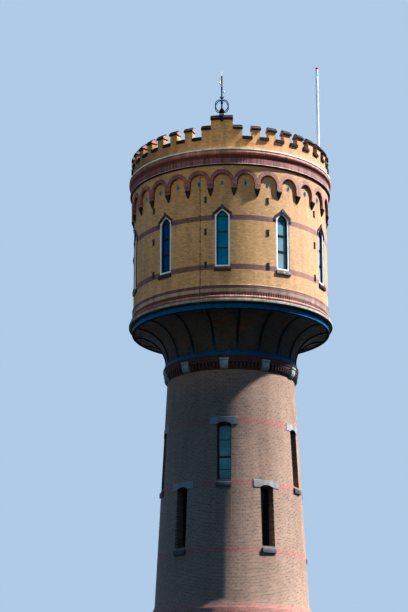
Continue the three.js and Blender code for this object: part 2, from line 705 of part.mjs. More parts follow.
const strapOut = PARAPET.copingOuter + 2 * GAP + STAND.strapThick - STAND.radius;
const armBottom = standBottom + STAND.strapRest;
const strapArm = box(STAND.strapWidth, strapOut, blockTop - armBottom, 0, -strapOut / 2, armBottom);
const strapTall = STAND.strapDrop + STAND.blockTall;
const plateMiddle = STAND.strapThick / 2 - strapOut;
const strapPlate = box(
  STAND.strapWidth, STAND.strapThick, strapTall, 0, plateMiddle, blockTop - strapTall,
);
const standParts = [standBlock, dome, rod, knot, ...scrolls, strapArm, strapPlate];
const stand = meshOf("vane_stand", union(standParts), darkIron);
stand.position.y = -STAND.radius;
tower.add(stand);

const hubTop = VANE.bottom + VANE.hubTall;
const armHeight = VANE.bottom + (VANE.hubTall - VANE.bar) / 2;
const hub = turned(band(STAND.rod + VANE.clearance, VANE.hubOuter, VANE.bottom, hubTop), POLE_FACETS);
const armStart = (STAND.rod + VANE.clearance + VANE.hubOuter) / 2;
const arm = (reach, side) =>
  box(VANE.bar, reach - armStart, VANE.bar, 0, (side * (reach + armStart)) / 2, armHeight);
const arms = [arm(VANE.headReach, 1), arm(VANE.tailReach - LEAF.long / 2, -1)];

const leafHalf = LEAF.tall / 2;
const leafShape = new THREE.Shape();
leafShape.moveTo(0, 0);
leafShape.quadraticCurveTo(LEAF.waist, leafHalf, LEAF.long, leafHalf);
leafShape.quadraticCurveTo(LEAF.notch, 0, LEAF.long, -leafHalf);
leafShape.quadraticCurveTo(LEAF.waist, -leafHalf, 0, 0);
const leafBlade = new THREE.ExtrudeGeometry(leafShape, {
  depth: LEAF.thick, bevelEnabled: false, curveSegments: LEAF.steps,
});
leafBlade.translate(0, 0, -LEAF.thick / 2).rotateX(quarter).rotateZ(-quarter);
const bladeMiddle = armHeight + VANE.bar / 2;
const blade = solidOf(leafBlade.translate(0, LEAF.long - VANE.tailReach, bladeMiddle));
const ball = ballAt(VANE.ball, VANE.headReach, bladeMiddle);
const vane = meshOf("vane", union([hub, ...arms, blade, ball]), gilt);
vane.position.y = -STAND.radius;
vane.rotation.z = radians(-VANE.turn);
tower.add(vane);

export default tower;
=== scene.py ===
"""Brickwork, stone, steel, windows and weathervane of a round brick water tower.

Metres, +Z up. The origin is on the ground on the tower's axis, and the front is -Y. An azimuth is
in degrees from the front, towards +X. Profiles are lists of (out, up) points, counter-clockwise,
and wall drawings are lists of (across, up) points.
"""
import math

import bmesh
import bpy
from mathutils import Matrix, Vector


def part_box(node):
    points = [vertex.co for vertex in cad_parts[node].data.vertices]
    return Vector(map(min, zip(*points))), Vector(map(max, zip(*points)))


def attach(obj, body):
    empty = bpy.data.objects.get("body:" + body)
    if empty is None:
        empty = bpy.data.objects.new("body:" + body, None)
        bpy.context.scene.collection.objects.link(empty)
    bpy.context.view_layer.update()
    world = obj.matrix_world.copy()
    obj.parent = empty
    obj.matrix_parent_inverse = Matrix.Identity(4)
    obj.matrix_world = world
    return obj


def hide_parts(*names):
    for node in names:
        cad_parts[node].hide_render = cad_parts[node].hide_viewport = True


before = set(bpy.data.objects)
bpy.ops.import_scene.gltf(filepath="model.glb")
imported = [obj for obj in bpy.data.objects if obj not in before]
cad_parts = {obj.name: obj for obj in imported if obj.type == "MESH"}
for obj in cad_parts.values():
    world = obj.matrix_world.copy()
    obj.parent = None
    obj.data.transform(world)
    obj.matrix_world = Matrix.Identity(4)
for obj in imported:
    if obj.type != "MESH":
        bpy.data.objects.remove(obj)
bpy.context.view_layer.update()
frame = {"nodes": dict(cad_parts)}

bl_info = {
    "name": "Brick water tower",
    "version": (1, 0, 0),
    "blender": (4, 5, 0),
    "location": "3D View > Sidebar > Water tower",
    "description": "Dresses the packed water tower with its masonry, steelwork and windows",
    "category": "Object",
}


def low(node):
    """The least corner of a CAD node's box."""
    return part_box(node)[0]


def high(node):
    """The greatest corner of a CAD node's box."""
    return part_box(node)[1]


# Driving sizes in metres, and angles in degrees. Pieces that rest on each other are GAP apart.

GAP = 0.0003
CREASE = math.radians(40.0)
BAYS = 10
BAY = 360 / BAYS
SEGMENTS = 5
FINE_STEP = 1.875
JOINT = 0.010
COURSE = 0.0625
STRETCHER = 0.22
SOLDIERS = 480

PLINTH_TOP = high("plinth").z
PLINTH_RADIUS = high("plinth").x
SHAFT_TOP = low("neck_corbel").z
SHAFT_TOP_RADIUS = 2.999
BATTER = 0.05
SHAFT_WALL = 0.65
SHAFT_MIDDLE = 3.35
BASE_TOP = 11.4
BASE_TOP_RADIUS = 3.72
WEATHERING = 0.42
SHAFT_BANDS = (
    (19.74, 20.03), (16.87, 17.12), (13.86, 14.1), (10.9, 11.6), (9.81, 10.1), (6.93, 7.18),
)
DOOR_RISE = 0.15

WINDOW_WIDTH = 0.65
WINDOW_RISE = 0.1
WINDOW_RECESS = 0.4
WINDOW_DEPTH = 0.09
WINDOW_FRAME = 0.06
LINTEL_WIDTH = 1.3
LINTEL_HEIGHT = 0.34
LINTEL_OVERLAP = 0.12
LINTEL_PROUD = 0.02
SHAFT_SILL_WIDTH = 0.69
SHAFT_SILL_HEIGHT = 0.31
SHAFT_SILL_PROUD = 0.07
ROWS = (("upper_window", -1.5), ("lower_window", 33.6), ("base_window", 0.0))

NECK_RADIUS = 3.05
NECK_TOP = 23.14
CORBEL_TOP = high("neck_corbel").z
CORBEL_RADIUS = 3.2
BLOCK_TURN = -1.2
FLARE_BOTTOM = 23.2
BOWL_RIM = high("bowl").x
BOWL_TOP = high("bowl").z
BOWL_WALL = 0.33
BOWL_MIDDLE = 3.8
FLARE = BOWL_RIM - NECK_RADIUS
RIBS = 18
RIB_START = 10.0
RIB_WIDTH = 0.07
GIRDER_RADIUS = high("steel_cradle").x
GIRDER_BOTTOM = 24.71
GIRDER_TOP = high("steel_cradle").z

STONE_BOTTOM = low("stone_ring").z
STONE_TOP = high("stone_ring").z
STONE_RADIUS = high("stone_ring").x
FOOT_TOP = high("drum_base_course").z
ROLL_RADIUS = high("drum_base_course").x
DRUM_RADIUS = 4.65
DRUM_INNER = 4.33
DRUM_TOP = high("drum_wall_1").z
PANE_WIDTH = 0.7
PANE_SILL = 26.7
PANE_CROWN = 29.5
PANE_RISE = 0.3
PANE_FACE = 4.55
PANE_LIGHT = 0.745
PANE_BARS = (27.64, 28.41, 29.15)
DRUM_BELTS = ((26.56, 26.81), (28.94, 29.18))

ARCHES = 27
ARCH_PITCH = 360 / ARCHES
ARCH_RADIUS = 0.415
ARCH_OUTER_HALF = 0.59
ARCH_OUTER_RISE = 0.62
ARCH_SPRING = 30.76
ARCADE_FACE = high("arcade").x
ARCADE_BOTTOM = low("arcade").z
CORBEL_HEAD = 30.6

CORNICE_TOP = high("cornice").z
CORNICE_RADIUS = high("cornice").x
PARAPET_INNER = 4.48
PARAPET_OUTER = 4.75
COPING_INNER = 4.45
COPING_OUTER = high("parapet").x
MERLON_PITCH = 360 / 37
MERLON_HALF = 2.3
MERLON_LIP = 0.4
COPING_EDGE = 0.09
CRENEL_TOP = 32.885
CRENEL_EDGE = 0.14
CRENEL_COPING = 33.1
MERLON_TOP = 33.37
MERLON_COPING = high("parapet").z
GABLE_HALF = 11.6
GABLE_CENTRE_HALF = 6.15
SHOULDER_TOP = 33.37
SHOULDER_COPING = 33.63
GABLE_TOP = 33.84
GABLE_COPING = high("front_gable").z

POLE_X = 4.35
POLE_FOOT = low("flagpole").z
POLE_TIP = high("flagpole").z
POLE = (POLE_X, 0.0)
STAND_Y = -4.635
STAND_TIP = high("vane_stand").z
STAND = (0.0, STAND_Y)
VANE_LOW = 35.48
ROD = 0.024
SCROLLS = 6
SCROLL_START = 4.5
SCROLL_REACH = 0.363
VANE_TURN = math.radians(-3.5)


def srgb(red, green, blue):
    """A screen colour from 0 to 255 as the linear colour that shaders use."""
    values = (red / 255, green / 255, blue / 255)
    return tuple(v / 12.92 if v <= 0.04045 else ((v + 0.055) / 1.055) ** 2.4 for v in values)


# Places on the tower


def polar(azimuth, out, up):
    angle = math.radians(azimuth)
    return (out * math.sin(angle), -out * math.cos(angle), up)


def bent(across, out, up, azimuth, reference):
    """A point of a wall drawing, wrapped round the tower at a reference radius."""
    return polar(azimuth + math.degrees(across / reference), out, up)


def flat(across, out, up, azimuth):
    """A point of a drawing that stays flat, square to its azimuth."""
    angle = math.radians(azimuth)
    sine, cosine = math.sin(angle), math.cos(angle)
    return (out * sine + across * cosine, across * sine - out * cosine, up)


def shaft_radius(up):
    return SHAFT_TOP_RADIUS + BATTER * (SHAFT_TOP - up)


def base_radius(up):
    return BASE_TOP_RADIUS + BATTER * (BASE_TOP - up)


def wall_radius(up):
    """The outside of the shaft or, lower down, of the thicker base."""
    return shaft_radius(up) if up > BASE_TOP else base_radius(up)


def plain_course(inner, outer, bottom, top):
    """The profile of a plain course of a round wall."""
    return [(inner, bottom), (outer, bottom), (outer, top), (inner, top)]


def arc(centre, radius, start, end, steps):
    """Points (out, up) on an arc, its angles in degrees from level."""
    angles = [math.radians(start + (end - start) * i / steps) for i in range(steps + 1)]
    return [(centre[0] + radius * math.cos(a), centre[1] + radius * math.sin(a)) for a in angles]


def segmental(width, bottom, crown, rise, inset=0.0):
    """The outline (across, up) of an opening with a low curved head."""
    half = width / 2 - inset
    foot, top = bottom + inset, crown - inset
    radius = (half * half + rise * rise) / (2 * rise)
    spread = math.asin(half / radius)
    steps = 8
    head = []
    for i in range(steps + 1):
        angle = spread * (1 - 2 * i / steps)
        head.append((radius * math.sin(angle), top - radius + radius * math.cos(angle)))
    return [(-half, foot), (half, foot), *head]


def pointed(width, bottom, crown, rise, inset=0.0):
    """The outline of an opening with a pointed head whose sides bulge a little."""
    half = width / 2 - inset
    foot, top = bottom + inset, crown - inset
    ends = ((half, top - rise), (half * 0.75, top - rise * 0.4), (0.0, top))
    steps = 6
    right = []
    for i in range(steps + 1):
        t = i / steps
        weights = ((1 - t) ** 2, 2 * t * (1 - t), t * t)
        right.append(tuple(sum(w * p[k] for w, p in zip(weights, ends)) for k in (0, 1)))
    left = [(-x, z) for x, z in reversed(right[:-1])]
    return [(-half, foot), (half, foot), *right, *left]


# Solids


class Solid:
    """Closed parts of one piece: its points and faces, with a material number for each face."""

    def __init__(self):
        self.points = []
        self.faces = []
        self.paint = []

    def add(self, points, faces, paint):
        start = len(self.points)
        self.points += points
        self.faces += [[start + i for i in face] for face in faces]
        self.paint += [paint] * len(faces)

    def loft(self, loops, paint=0, closed=False):
        """Skins equal loops one after another, with a cap at each end unless it is closed."""
        count = len(loops[0])
        spans = len(loops) if closed else len(loops) - 1
        faces = []
        for i in range(spans):
            here, there = i * count, (i + 1) % len(loops) * count
            for j in range(count):
                k = (j + 1) % count
                faces.append([here + j, there + j, there + k, here + k])
        if not closed:
            faces.append(list(range(count)))
            faces.append([spans * count + j for j in reversed(range(count))])
        self.add([point for loop in loops for point in loop], faces, paint)

    def ring(self, profile, start=0.0, end=360.0, paint=0, step=FINE_STEP):
        """Turns a profile round the tower's axis between two azimuths."""
        whole = end - start > 359.9
        spans = max(1, math.ceil((end - start) / step - 1e-6))
        turns = [start + (end - start) * i / spans for i in range(spans + (0 if whole else 1))]
        self.loft([[polar(a, r, z) for r, z in profile] for a in turns], paint, closed=whole)

    def prism(self, outline, inner, outer, azimuth, paint=0):
        """Pushes a flat drawing out from one distance to another."""
        loops = [[flat(x, out, z, azimuth) for x, z in outline] for out in (outer, inner)]
        self.loft(loops, paint)

    def border(self, outside, inside, inner, outer, azimuth, paint=0):
        """A flat frame between two outlines with equally many points."""
        loops = []
        for (ox, oz), (ix, iz) in zip(outside, inside):
            loops.append([
                flat(ox, inner, oz, azimuth), flat(ox, outer, oz, azimuth),
                flat(ix, outer, iz, azimuth), flat(ix, inner, iz, azimuth),
            ])
        self.loft(loops, paint, closed=True)

    def columns(self, edges, inner, outer, azimuth, reference, paint=0):
        """A bent plate drawn as columns (across, low, high), from left to right."""
        loops = []
        for x, below, above in edges:
            section = ((inner, below), (outer, below), (outer, above), (inner, above))
            loops.append([bent(x, r, z, azimuth, reference) for r, z in section])
        self.loft(loops, paint)

    def block(self, across, out, up, azimuth, reference=None, paint=0, edge=0.0):
        """A block between pairs of limits, its front edges taken off by edge."""
        shapes = [(edge, out[1]), (0.0, out[1] - edge), (0.0, out[0])]
        loops = []
        for inset, distance in shapes if edge else shapes[1:]:
            corners = (
                (across[0] + inset, up[0] + inset), (across[1] - inset, up[0] + inset),
                (across[1] - inset, up[1] - inset), (across[0] + inset, up[1] - inset),
            )
            if reference:
                loops.append([bent(x, distance, z, azimuth, reference) for x, z in corners])
            else:
                loops.append([flat(x, distance, z, azimuth) for x, z in corners])
        self.loft(loops, paint)

    def stud(self, azimuth, out, up, radius, height, sides=8, paint=0, across=0.0):
        """A low round head on a wall: a rivet, a nut or a boss."""
        loops = []
        turns = [2 * math.pi * i / sides for i in range(sides)]
        for share, distance in ((0.45, out + height), (0.85, out + height * 0.7), (1.0, out)):
            reach = radius * share
            circle = [(across + reach * math.cos(a), up + reach * math.sin(a)) for a in turns]
            loops.append([flat(x, distance, z, azimuth) for x, z in circle])
        self.loft(loops, paint)

    def spindle(self, profile, centre, sides=16, paint=0):
        """Turns (radius, height) points round an upright line. The two ends lie on the line."""
        (x, y), (first, *middle, last) = centre, profile
        points = [(x, y, first[1])]
        for radius, height in middle:
            for i in range(sides):
                angle = 2 * math.pi * i / sides
                points.append((x + radius * math.cos(angle), y + radius * math.sin(angle), height))
        points.append((x, y, last[1]))
        faces = []
        top = len(points) - 1
        for i in range(sides):
            k = (i + 1) % sides
            faces.append([0, 1 + k, 1 + i])
            for j in range(len(middle) - 1):
                here = 1 + j * sides
                faces.append([here + i, here + k, here + sides + k, here + sides + i])
            faces.append([top - sides + i, top - sides + k, top])
        self.add(points, faces, paint)

    def tube(self, path, radius, sides=8, paint=0):
        """A bar along a path. The radius is one number or one for each point."""
        places = [Vector(p) for p in path]
        radii = radius if isinstance(radius, (list, tuple)) else [radius] * len(places)
        normal = None
        loops = []
        for i, place in enumerate(places):
            ahead, behind = places[min(i + 1, len(places) - 1)], places[max(i - 1, 0)]
            along = (ahead - behind).normalized()
            if normal is None:
                normal = along.orthogonal().normalized()
            normal = (normal - normal.dot(along) * along).normalized()
            side = along.cross(normal)
            ring = []
            for k in range(sides):
                angle = -2 * math.pi * k / sides
                offset = math.cos(angle) * normal + math.sin(angle) * side
                ring.append(tuple(place + radii[i] * offset))
            loops.append(ring)
        self.loft(loops, paint)


def linked(thing):
    """Puts a new object into the scene."""
    bpy.context.scene.collection.objects.link(thing)
    return thing


def mesh_of(name, solid, materials):
    """A Blender mesh with its faces turned outwards and its hard edges kept."""
    mesh = bpy.data.meshes.new(name)
    mesh.from_pydata(solid.points, [], solid.faces)
    mesh.polygons.foreach_set("material_index", solid.paint)
    for material in materials:
        mesh.materials.append(material)
    work = bmesh.new()
    work.from_mesh(mesh)
    bmesh.ops.recalc_face_normals(work, faces=work.faces)
    work.to_mesh(mesh)
    work.free()
    mesh.shade_smooth()
    mesh.set_sharp_from_angle(angle=CREASE)
    return mesh


def piece(name, solid, finishes, nodes=(), body="tower", openings=None):
    """Puts one finished piece on a body, for the CAD nodes that it stands for."""
    mesh = mesh_of(name, solid, [finish(key) for key in finishes])
    thing = linked(bpy.data.objects.new(name, mesh))
    if openings:
        carve(thing, openings)
    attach(thing, body)
    if nodes:
        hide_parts(*nodes)


def carve(thing, openings):
    """Cuts the openings out of a piece and keeps the result as its mesh."""
    tool = linked(bpy.data.objects.new("opening_tool", mesh_of("opening_tool", openings, [])))
    cutter = thing.modifiers.new("openings", "BOOLEAN")
    cutter.operation = "DIFFERENCE"
    cutter.solver = "MANIFOLD"
    cutter.object = tool
    graph = bpy.context.evaluated_depsgraph_get()
    result = bpy.data.meshes.new_from_object(thing.evaluated_get(graph))
    if len(result.polygons) <= len(thing.data.polygons) // 2:
        raise RuntimeError(f"the openings of {thing.name} were not cut")
    thing.modifiers.clear()
    thing.data = result
    result.shade_smooth()
    result.set_sharp_from_angle(angle=CREASE)
    bpy.data.objects.remove(tool)


def numbered(stem, count):
    """The names of the CAD nodes in a run."""
    return [f"{stem}_{i + 1}" for i in range(count)]


# Materials


class Shader:
    """One material's node tree, built in small steps."""

    def __init__(self, name, roughness=0.8, metallic=0.0):
        self.material = bpy.data.materials.new(name)
        self.material.use_nodes = True
        self.tree = self.material.node_tree
        self.surface = self.tree.nodes["Principled BSDF"]
        self.surface.inputs["Roughness"].default_value = roughness
        self.surface.inputs["Metallic"].default_value = metallic
        self.place = self.node("ShaderNodeTexCoord").outputs["Object"]

    def node(self, kind, feeds=(), **settings):
        made = self.tree.nodes.new(kind)
        for key, value in settings.items():
            setattr(made, key, value)
        for key, value in dict(feeds).items():
            self.feed(made.inputs[key], value)
        return made

    def feed(self, socket, value):
        if isinstance(value, bpy.types.NodeSocket):
            self.tree.links.new(value, socket)
        else:
            socket.default_value = value

    def math(self, operation, *values):
        feeds = {i: value for i, value in enumerate(values)}
        return self.node("ShaderNodeMath", feeds, operation=operation).outputs[0]

    def mix(self, factor, first, second, blend="MIX"):
        feeds = {0: factor, 6: rgba(first), 7: rgba(second)}
        made = self.node("ShaderNodeMix", {}, data_type="RGBA", blend_type=blend)
        for key, value in feeds.items():
            self.feed(made.inputs[key], value)
        return made.outputs[2]

    def step(self, value, start, end, low_value=0.0, high_value=1.0):
        feeds = {0: value, 1: start, 2: end, 3: low_value, 4: high_value}
        made = self.node("ShaderNodeMapRange", feeds, interpolation_type="SMOOTHSTEP")
        return made.outputs[0]

    def ramp(self, value, *stops):
        made = self.node("ShaderNodeValToRGB", {0: value})
        elements = made.color_ramp.elements
        while len(elements) < len(stops):
            elements.new(0.5)
        for element, (position, colour) in zip(elements, stops):
            element.position = position
            element.color = rgba(colour)
        return made.outputs[0]

    def split(self, vector=None):
        made = self.node("ShaderNodeSeparateXYZ", {0: self.place if vector is None else vector})
        return made.outputs[0], made.outputs[1], made.outputs[2]

    def join(self, x, y, z=0.0):
        return self.node("ShaderNodeCombineXYZ", {0: x, 1: y, 2: z}).outputs[0]

    def noise(self, scale, detail=4.0, rough=0.55, vector=None):
        feeds = {
            "Vector": self.place if vector is None else vector,
            "Scale": scale, "Detail": detail, "Roughness": rough,
        }
        return self.node("ShaderNodeTexNoise", feeds).outputs["Fac"]

    def white(self, vector):
        made = self.node("ShaderNodeTexWhiteNoise", {"Vector": vector}, noise_dimensions="3D")
        return made.outputs["Value"]

    def bump(self, height, distance, strength=1.0):
        feeds = {"Height": height, "Distance": distance, "Strength": strength}
        self.feed(self.surface.inputs["Normal"], self.node("ShaderNodeBump", feeds).outputs[0])

    def colour(self, value):
        self.feed(self.surface.inputs["Base Color"], value)

    def roughness(self, value):
        self.feed(self.surface.inputs["Roughness"], value)

    def azimuth(self):
        """The angle round the tower's axis, from the front."""
        x, y, _ = self.split()
        return self.math("ARCTAN2", x, self.math("MULTIPLY", y, -1.0))

    def reach(self, across, up):
        """The distance from the origin of two lengths at a right angle."""
        squares = [self.math("MULTIPLY", side, side) for side in (across, up)]
        return self.math("SQRT", self.math("ADD", *squares))

    def wall(self, radius):
        """Azimuth as a length at a radius, and height."""
        return self.math("MULTIPLY", self.azimuth(), radius), self.split()[2]

    def shade(self, value, start, end, first, second):
        """Goes from one colour to another while a value goes from start to end."""
        return self.ramp(value, (start, first), (end, second))


def scaled(colour, share):
    """A colour made darker, or lighter for a share over one."""
    return tuple(channel * share for channel in colour)


def rgba(value):
    if isinstance(value, bpy.types.NodeSocket):
        return value
    return (*value[:3], 1.0)


def whole_bricks(radius, length):
    """The brick length nearest to the given one that closes round a ring."""
    return 2 * math.pi * radius / round(2 * math.pi * radius / length)


def brick_pattern(shader, across, up, stretcher, header, course, joint=JOINT):
    """Rows of stretchers and headers in turn: the joints' mask and a number for each brick."""
    row = shader.math("FLOOR", shader.math("DIVIDE", up, course))
    odd = shader.math("MODULO", row, 2.0)
    length = shader.math("MULTIPLY_ADD", odd, header - stretcher, stretcher)
    shift = shader.math("MULTIPLY", shader.math("MODULO", row, 4.0), header / 2)
    along = shader.math("DIVIDE", shader.math("ADD", across, shift), length)
    brick = shader.math("FLOOR", along)
    near_x = shader.math("PINGPONG", along, 0.5)
    near_z = shader.math("PINGPONG", shader.math("DIVIDE", up, course), 0.5)
    edge_x = shader.math("MULTIPLY", near_x, length)
    edge_z = shader.math("MULTIPLY", near_z, course)
    edge = shader.math("MINIMUM", edge_x, edge_z)
    mortar = shader.step(edge, joint * 0.35, joint * 0.75, 1.0, 0.0)
    return mortar, shader.white(shader.join(brick, row, 0.0))


def weather(shader, colour, amount=0.3, streaks=0.25):
    """Broad patches, rain streaks and fine grain over a colour."""
    x, y, z = shader.split()
    patch = shader.ramp(
        shader.noise(0.55, 5.0, 0.6),
        (0.3, (1 - amount,) * 3), (0.5, (0.97,) * 3), (0.7, (1 + amount * 0.35,) * 3),
    )
    run = shader.noise(1.0, 3.0, 0.6, shader.join(
        shader.math("MULTIPLY", x, 3.4), shader.math("MULTIPLY", y, 3.4),
        shader.math("MULTIPLY", z, 0.28),
    ))
    stain = shader.ramp(run, (0.35, (1 - streaks,) * 3), (0.58, (1.0,) * 3))
    speck = shader.ramp(shader.noise(90.0, 3.0, 0.7), (0.3, (0.86,) * 3), (0.7, (1.1,) * 3))
    for layer in (patch, stain, speck):
        colour = shader.mix(1.0, colour, layer, "MULTIPLY")
    return colour


def between(shader, value, start, end):
    """One inside the limits, zero outside."""
    over = shader.math("GREATER_THAN", value, start)
    return shader.math("MULTIPLY", over, shader.math("LESS_THAN", value, end))


def brick_material(name, radius, tones, mortar, mapping=None, bands=(), rows=True, course=COURSE,
                   length=STRETCHER, amount=0.3, streaks=0.25, joint=JOINT, soot=None, rust=None,
                   faded=None):
    """Facing brick in mortar. Each tone is (position, colour) and each band (low, high, tones).
    One side can be darkened by a share, from x to x, as painted shade: (from x, to x, share). The
    sunny side can be paled towards a colour, from x to x, as painted sunlight: (from x, to x,
    colour, share). Rust is the colour of the patches that iron has bled over the wall."""
    shader = Shader(name, 0.85)
    across, up = mapping(shader) if mapping else shader.wall(radius)
    stretcher = whole_bricks(radius, length)
    header = stretcher / 2 if rows else stretcher
    joints, number = brick_pattern(shader, across, up, stretcher, header, course, joint)
    bricks = shader.ramp(number, *tones)
    x, _, height = shader.split()
    for bottom, top, band_tones in bands:
        inside = between(shader, height, bottom, top)
        bricks = shader.mix(inside, bricks, shader.ramp(number, *band_tones))
    face = shader.mix(joints, bricks, mortar)
    # Painted shade: the side from x to x is darkened by a share.
    if soot:
        start, end, share = soot
        sooted = shader.mix(1.0, face, (share,) * 3, "MULTIPLY")
        face = shader.mix(shader.step(x, start, end, 1.0, 0.0), face, sooted)
    # Painted sunlight: the sunny side from x to x is paled towards a colour by a share.
    if faded:
        start, end, tone, share = faded
        face = shader.mix(shader.step(x, start, end, 0.0, share), face, tone)
    if rust:
        bled = shader.step(shader.noise(1.3, 6.0, 0.7), 0.52, 0.66, 0.0, 0.8)
        face = shader.mix(bled, face, rust)
    shader.colour(weather(shader, face, amount, streaks))
    grain = shader.math("MULTIPLY_ADD", shader.noise(160.0, 3.0, 0.6), 0.25, 1.0)
    shader.bump(shader.math("MULTIPLY", shader.math("SUBTRACT", 1.0, joints), grain), 0.005, 0.7)
    shader.roughness(shader.step(number, 0.0, 1.0, 0.72, 0.93))
    return shader.material


def stone_material(name, base, dark, rough=0.8):
    """Dressed stone with clouds, flecks and a pitted face."""
    shader = Shader(name, rough)
    grain = 26.0
    cloud = shader.shade(shader.noise(grain * 0.12, 6.0, 0.62), 0.35, 0.62, dark, base)
    fleck = shader.shade(shader.noise(grain * 4, 2.0, 0.8), 0.4, 0.62, (0.8,) * 3, (1.08,) * 3)
    shader.colour(weather(shader, shader.mix(1.0, cloud, fleck, "MULTIPLY"), 0.28, 0.3))
    shader.bump(shader.noise(grain, 6.0, 0.65), 0.006, 0.5)
    dull = min(rough + 0.1, 0.98)
    shader.roughness(shader.step(shader.noise(grain * 0.5), 0.3, 0.7, rough - 0.1, dull))
    return shader.material


def paint_material(name, base, worn, rough=0.4, metallic=0.0, size=5.0, shine=None,
                   milky=0.0, dirt=0.25):
    """Paint that chalks in patches, with runs of dirt. Milky is how deep light soaks in."""
    shader = Shader(name, rough, metallic)
    if shine:
        shader.surface.inputs["Specular Tint"].default_value = rgba(shine)
    if milky:
        shader.surface.inputs["Subsurface Weight"].default_value = 1.0
        shader.surface.inputs["Subsurface Radius"].default_value = (milky,) * 3
        shader.surface.inputs["Subsurface Scale"].default_value = 1.0
    chalk = shader.mix(shader.step(shader.noise(size, 6.0, 0.65), 0.5, 0.74), base, worn)
    shader.colour(weather(shader, chalk, dirt, dirt))
    shader.bump(shader.noise(size * 14, 3.0, 0.5), 0.0012, 0.35)
    shader.roughness(shader.step(shader.noise(size * 2), 0.3, 0.7, rough - 0.08, rough + 0.18))
    return shader.material


def glass_face(shader):
    """The slightly uneven, polished face that all panes have."""
    shader.bump(shader.noise(2.2, 2.0, 0.4), 0.004, 0.25)
    shader.roughness(shader.step(shader.noise(7.0), 0.35, 0.75, 0.05, 0.16))


def shaft_glass_material(dark):
    """Panes over dark rooms. Those of the upper row, away from the sun, have the sky's reflection painted
    on in teal.
    """
    shader = Shader("shaft_window_glass", 0.08)
    x, _, z = shader.split()
    flow = shader.noise(1.3, 3.0, 0.5)
    teal = shader.shade(flow, 0.35, 0.65, srgb(104, 206, 200), srgb(160, 240, 222))
    deep = shader.shade(flow, 0.35, 0.65, dark, scaled(dark, 2.6))
    # Painted reflection: teal sky on the upper row's panes, away from the sunny side.
    upper, left = shader.step(z, 17.0, 17.6), shader.step(x, 1.0, 1.6, 1.0, 0.0)
    painted_sky_reflection = shader.math("MULTIPLY", upper, left)
    shader.colour(shader.mix(painted_sky_reflection, deep, teal))
    shader.surface.inputs["IOR"].default_value = 1.45
    glass_face(shader)
    return shader.material


def drum_glass_material(deep):
    """Blue panes on the left, teal in the middle and pale ones of many tints on the right."""
    shader = Shader("drum_window_glass", 0.08)
    x, _, z = shader.split()
    bays = shader.math("MULTIPLY_ADD", shader.azimuth(), BAYS / (2 * math.pi), 0.5)
    lights = shader.math("DIVIDE", shader.math("SUBTRACT", z, PANE_SILL), PANE_LIGHT)
    bay, light = shader.math("FLOOR", bays), shader.math("FLOOR", lights)
    pale = shader.ramp(
        shader.white(shader.join(bay, light, 2.0)),
        (0.0, srgb(92, 124, 138)), (0.4, srgb(150, 158, 160)),
        (0.75, srgb(118, 156, 166)), (1.0, srgb(168, 172, 176)),
    )
    flow = shader.noise(1.6, 3.0, 0.5)
    blue = shader.shade(flow, 0.35, 0.65, scaled(deep, 0.75), deep)
    teal = shader.shade(flow, 0.35, 0.65, srgb(0, 130, 164), srgb(2, 150, 184))
    left_to_middle = shader.mix(shader.step(x, -1.6, -1.0), blue, teal)
    shader.colour(shader.mix(shader.step(x, 1.2, 1.6), left_to_middle, pale))
    shader.surface.inputs["IOR"].default_value = 1.4
    shader.surface.inputs["Specular Tint"].default_value = rgba(srgb(20, 160, 235))
    glass_face(shader)
    return shader.material


def rib_material(blue, black):
    """The ribs' blue paint, painted black up the bowl as the shade under it, and still blue near the neck.
    """
    shader = Shader("rib_paint", 0.45)
    shader.surface.inputs["Specular Tint"].default_value = rgba(blue)
    height = shader.split()[2]
    # Painted shade: black from about 23.35 m up, with a noisy edge.
    soot = shader.step(shader.math("MULTIPLY_ADD", shader.noise(2.4), 0.5, height), 23.35, 23.95)
    shader.colour(weather(shader, shader.mix(soot, blue, black), 0.22, 0.28))
    shader.bump(shader.noise(60.0, 3.0, 0.5), 0.0012, 0.35)
    shader.roughness(shader.step(shader.noise(10.0), 0.3, 0.7, 0.4, 0.62))
    return shader.material


def timber_material(name, base, dark, plank=0.18):
    """Boards side by side across x, with grain along them and open joints."""
    shader = Shader(name, 0.7)
    x, y, z = shader.split()
    board = shader.math("DIVIDE", x, plank)
    gap = shader.step(shader.math("PINGPONG", board, 0.5), 0.01, 0.03, 1.0, 0.0)
    number = shader.white(shader.join(shader.math("FLOOR", board), 0.0, 0.0))
    grain = shader.noise(1.0, 5.0, 0.6, shader.join(
        shader.math("MULTIPLY", x, 60.0), shader.math("MULTIPLY", y, 5.0),
        shader.math("ADD", z, number),
    ))
    tone = shader.shade(grain, 0.35, 0.65, dark, base)
    lift = shader.shade(number, 0.0, 1.0, (0.8,) * 3, (1.15,) * 3)
    shader.colour(shader.mix(gap, shader.mix(1.0, tone, lift, "MULTIPLY"), srgb(24, 20, 16)))
    shader.bump(shader.math("SUBTRACT", grain, gap), 0.003, 0.6)
    return shader.material


def flare_mapping(shader):
    """Round the bowl by azimuth, and up it by the length along its quarter-round."""
    x, y, z = shader.split()
    above = shader.math("SUBTRACT", z, FLARE_BOTTOM)
    rise = shader.math("ARCTAN2", above, shader.math("SUBTRACT", BOWL_RIM, shader.reach(x, y)))
    middle = (NECK_RADIUS + BOWL_RIM) / 2
    return shader.wall(middle)[0], shader.math("MULTIPLY_ADD", rise, FLARE, 4.0)


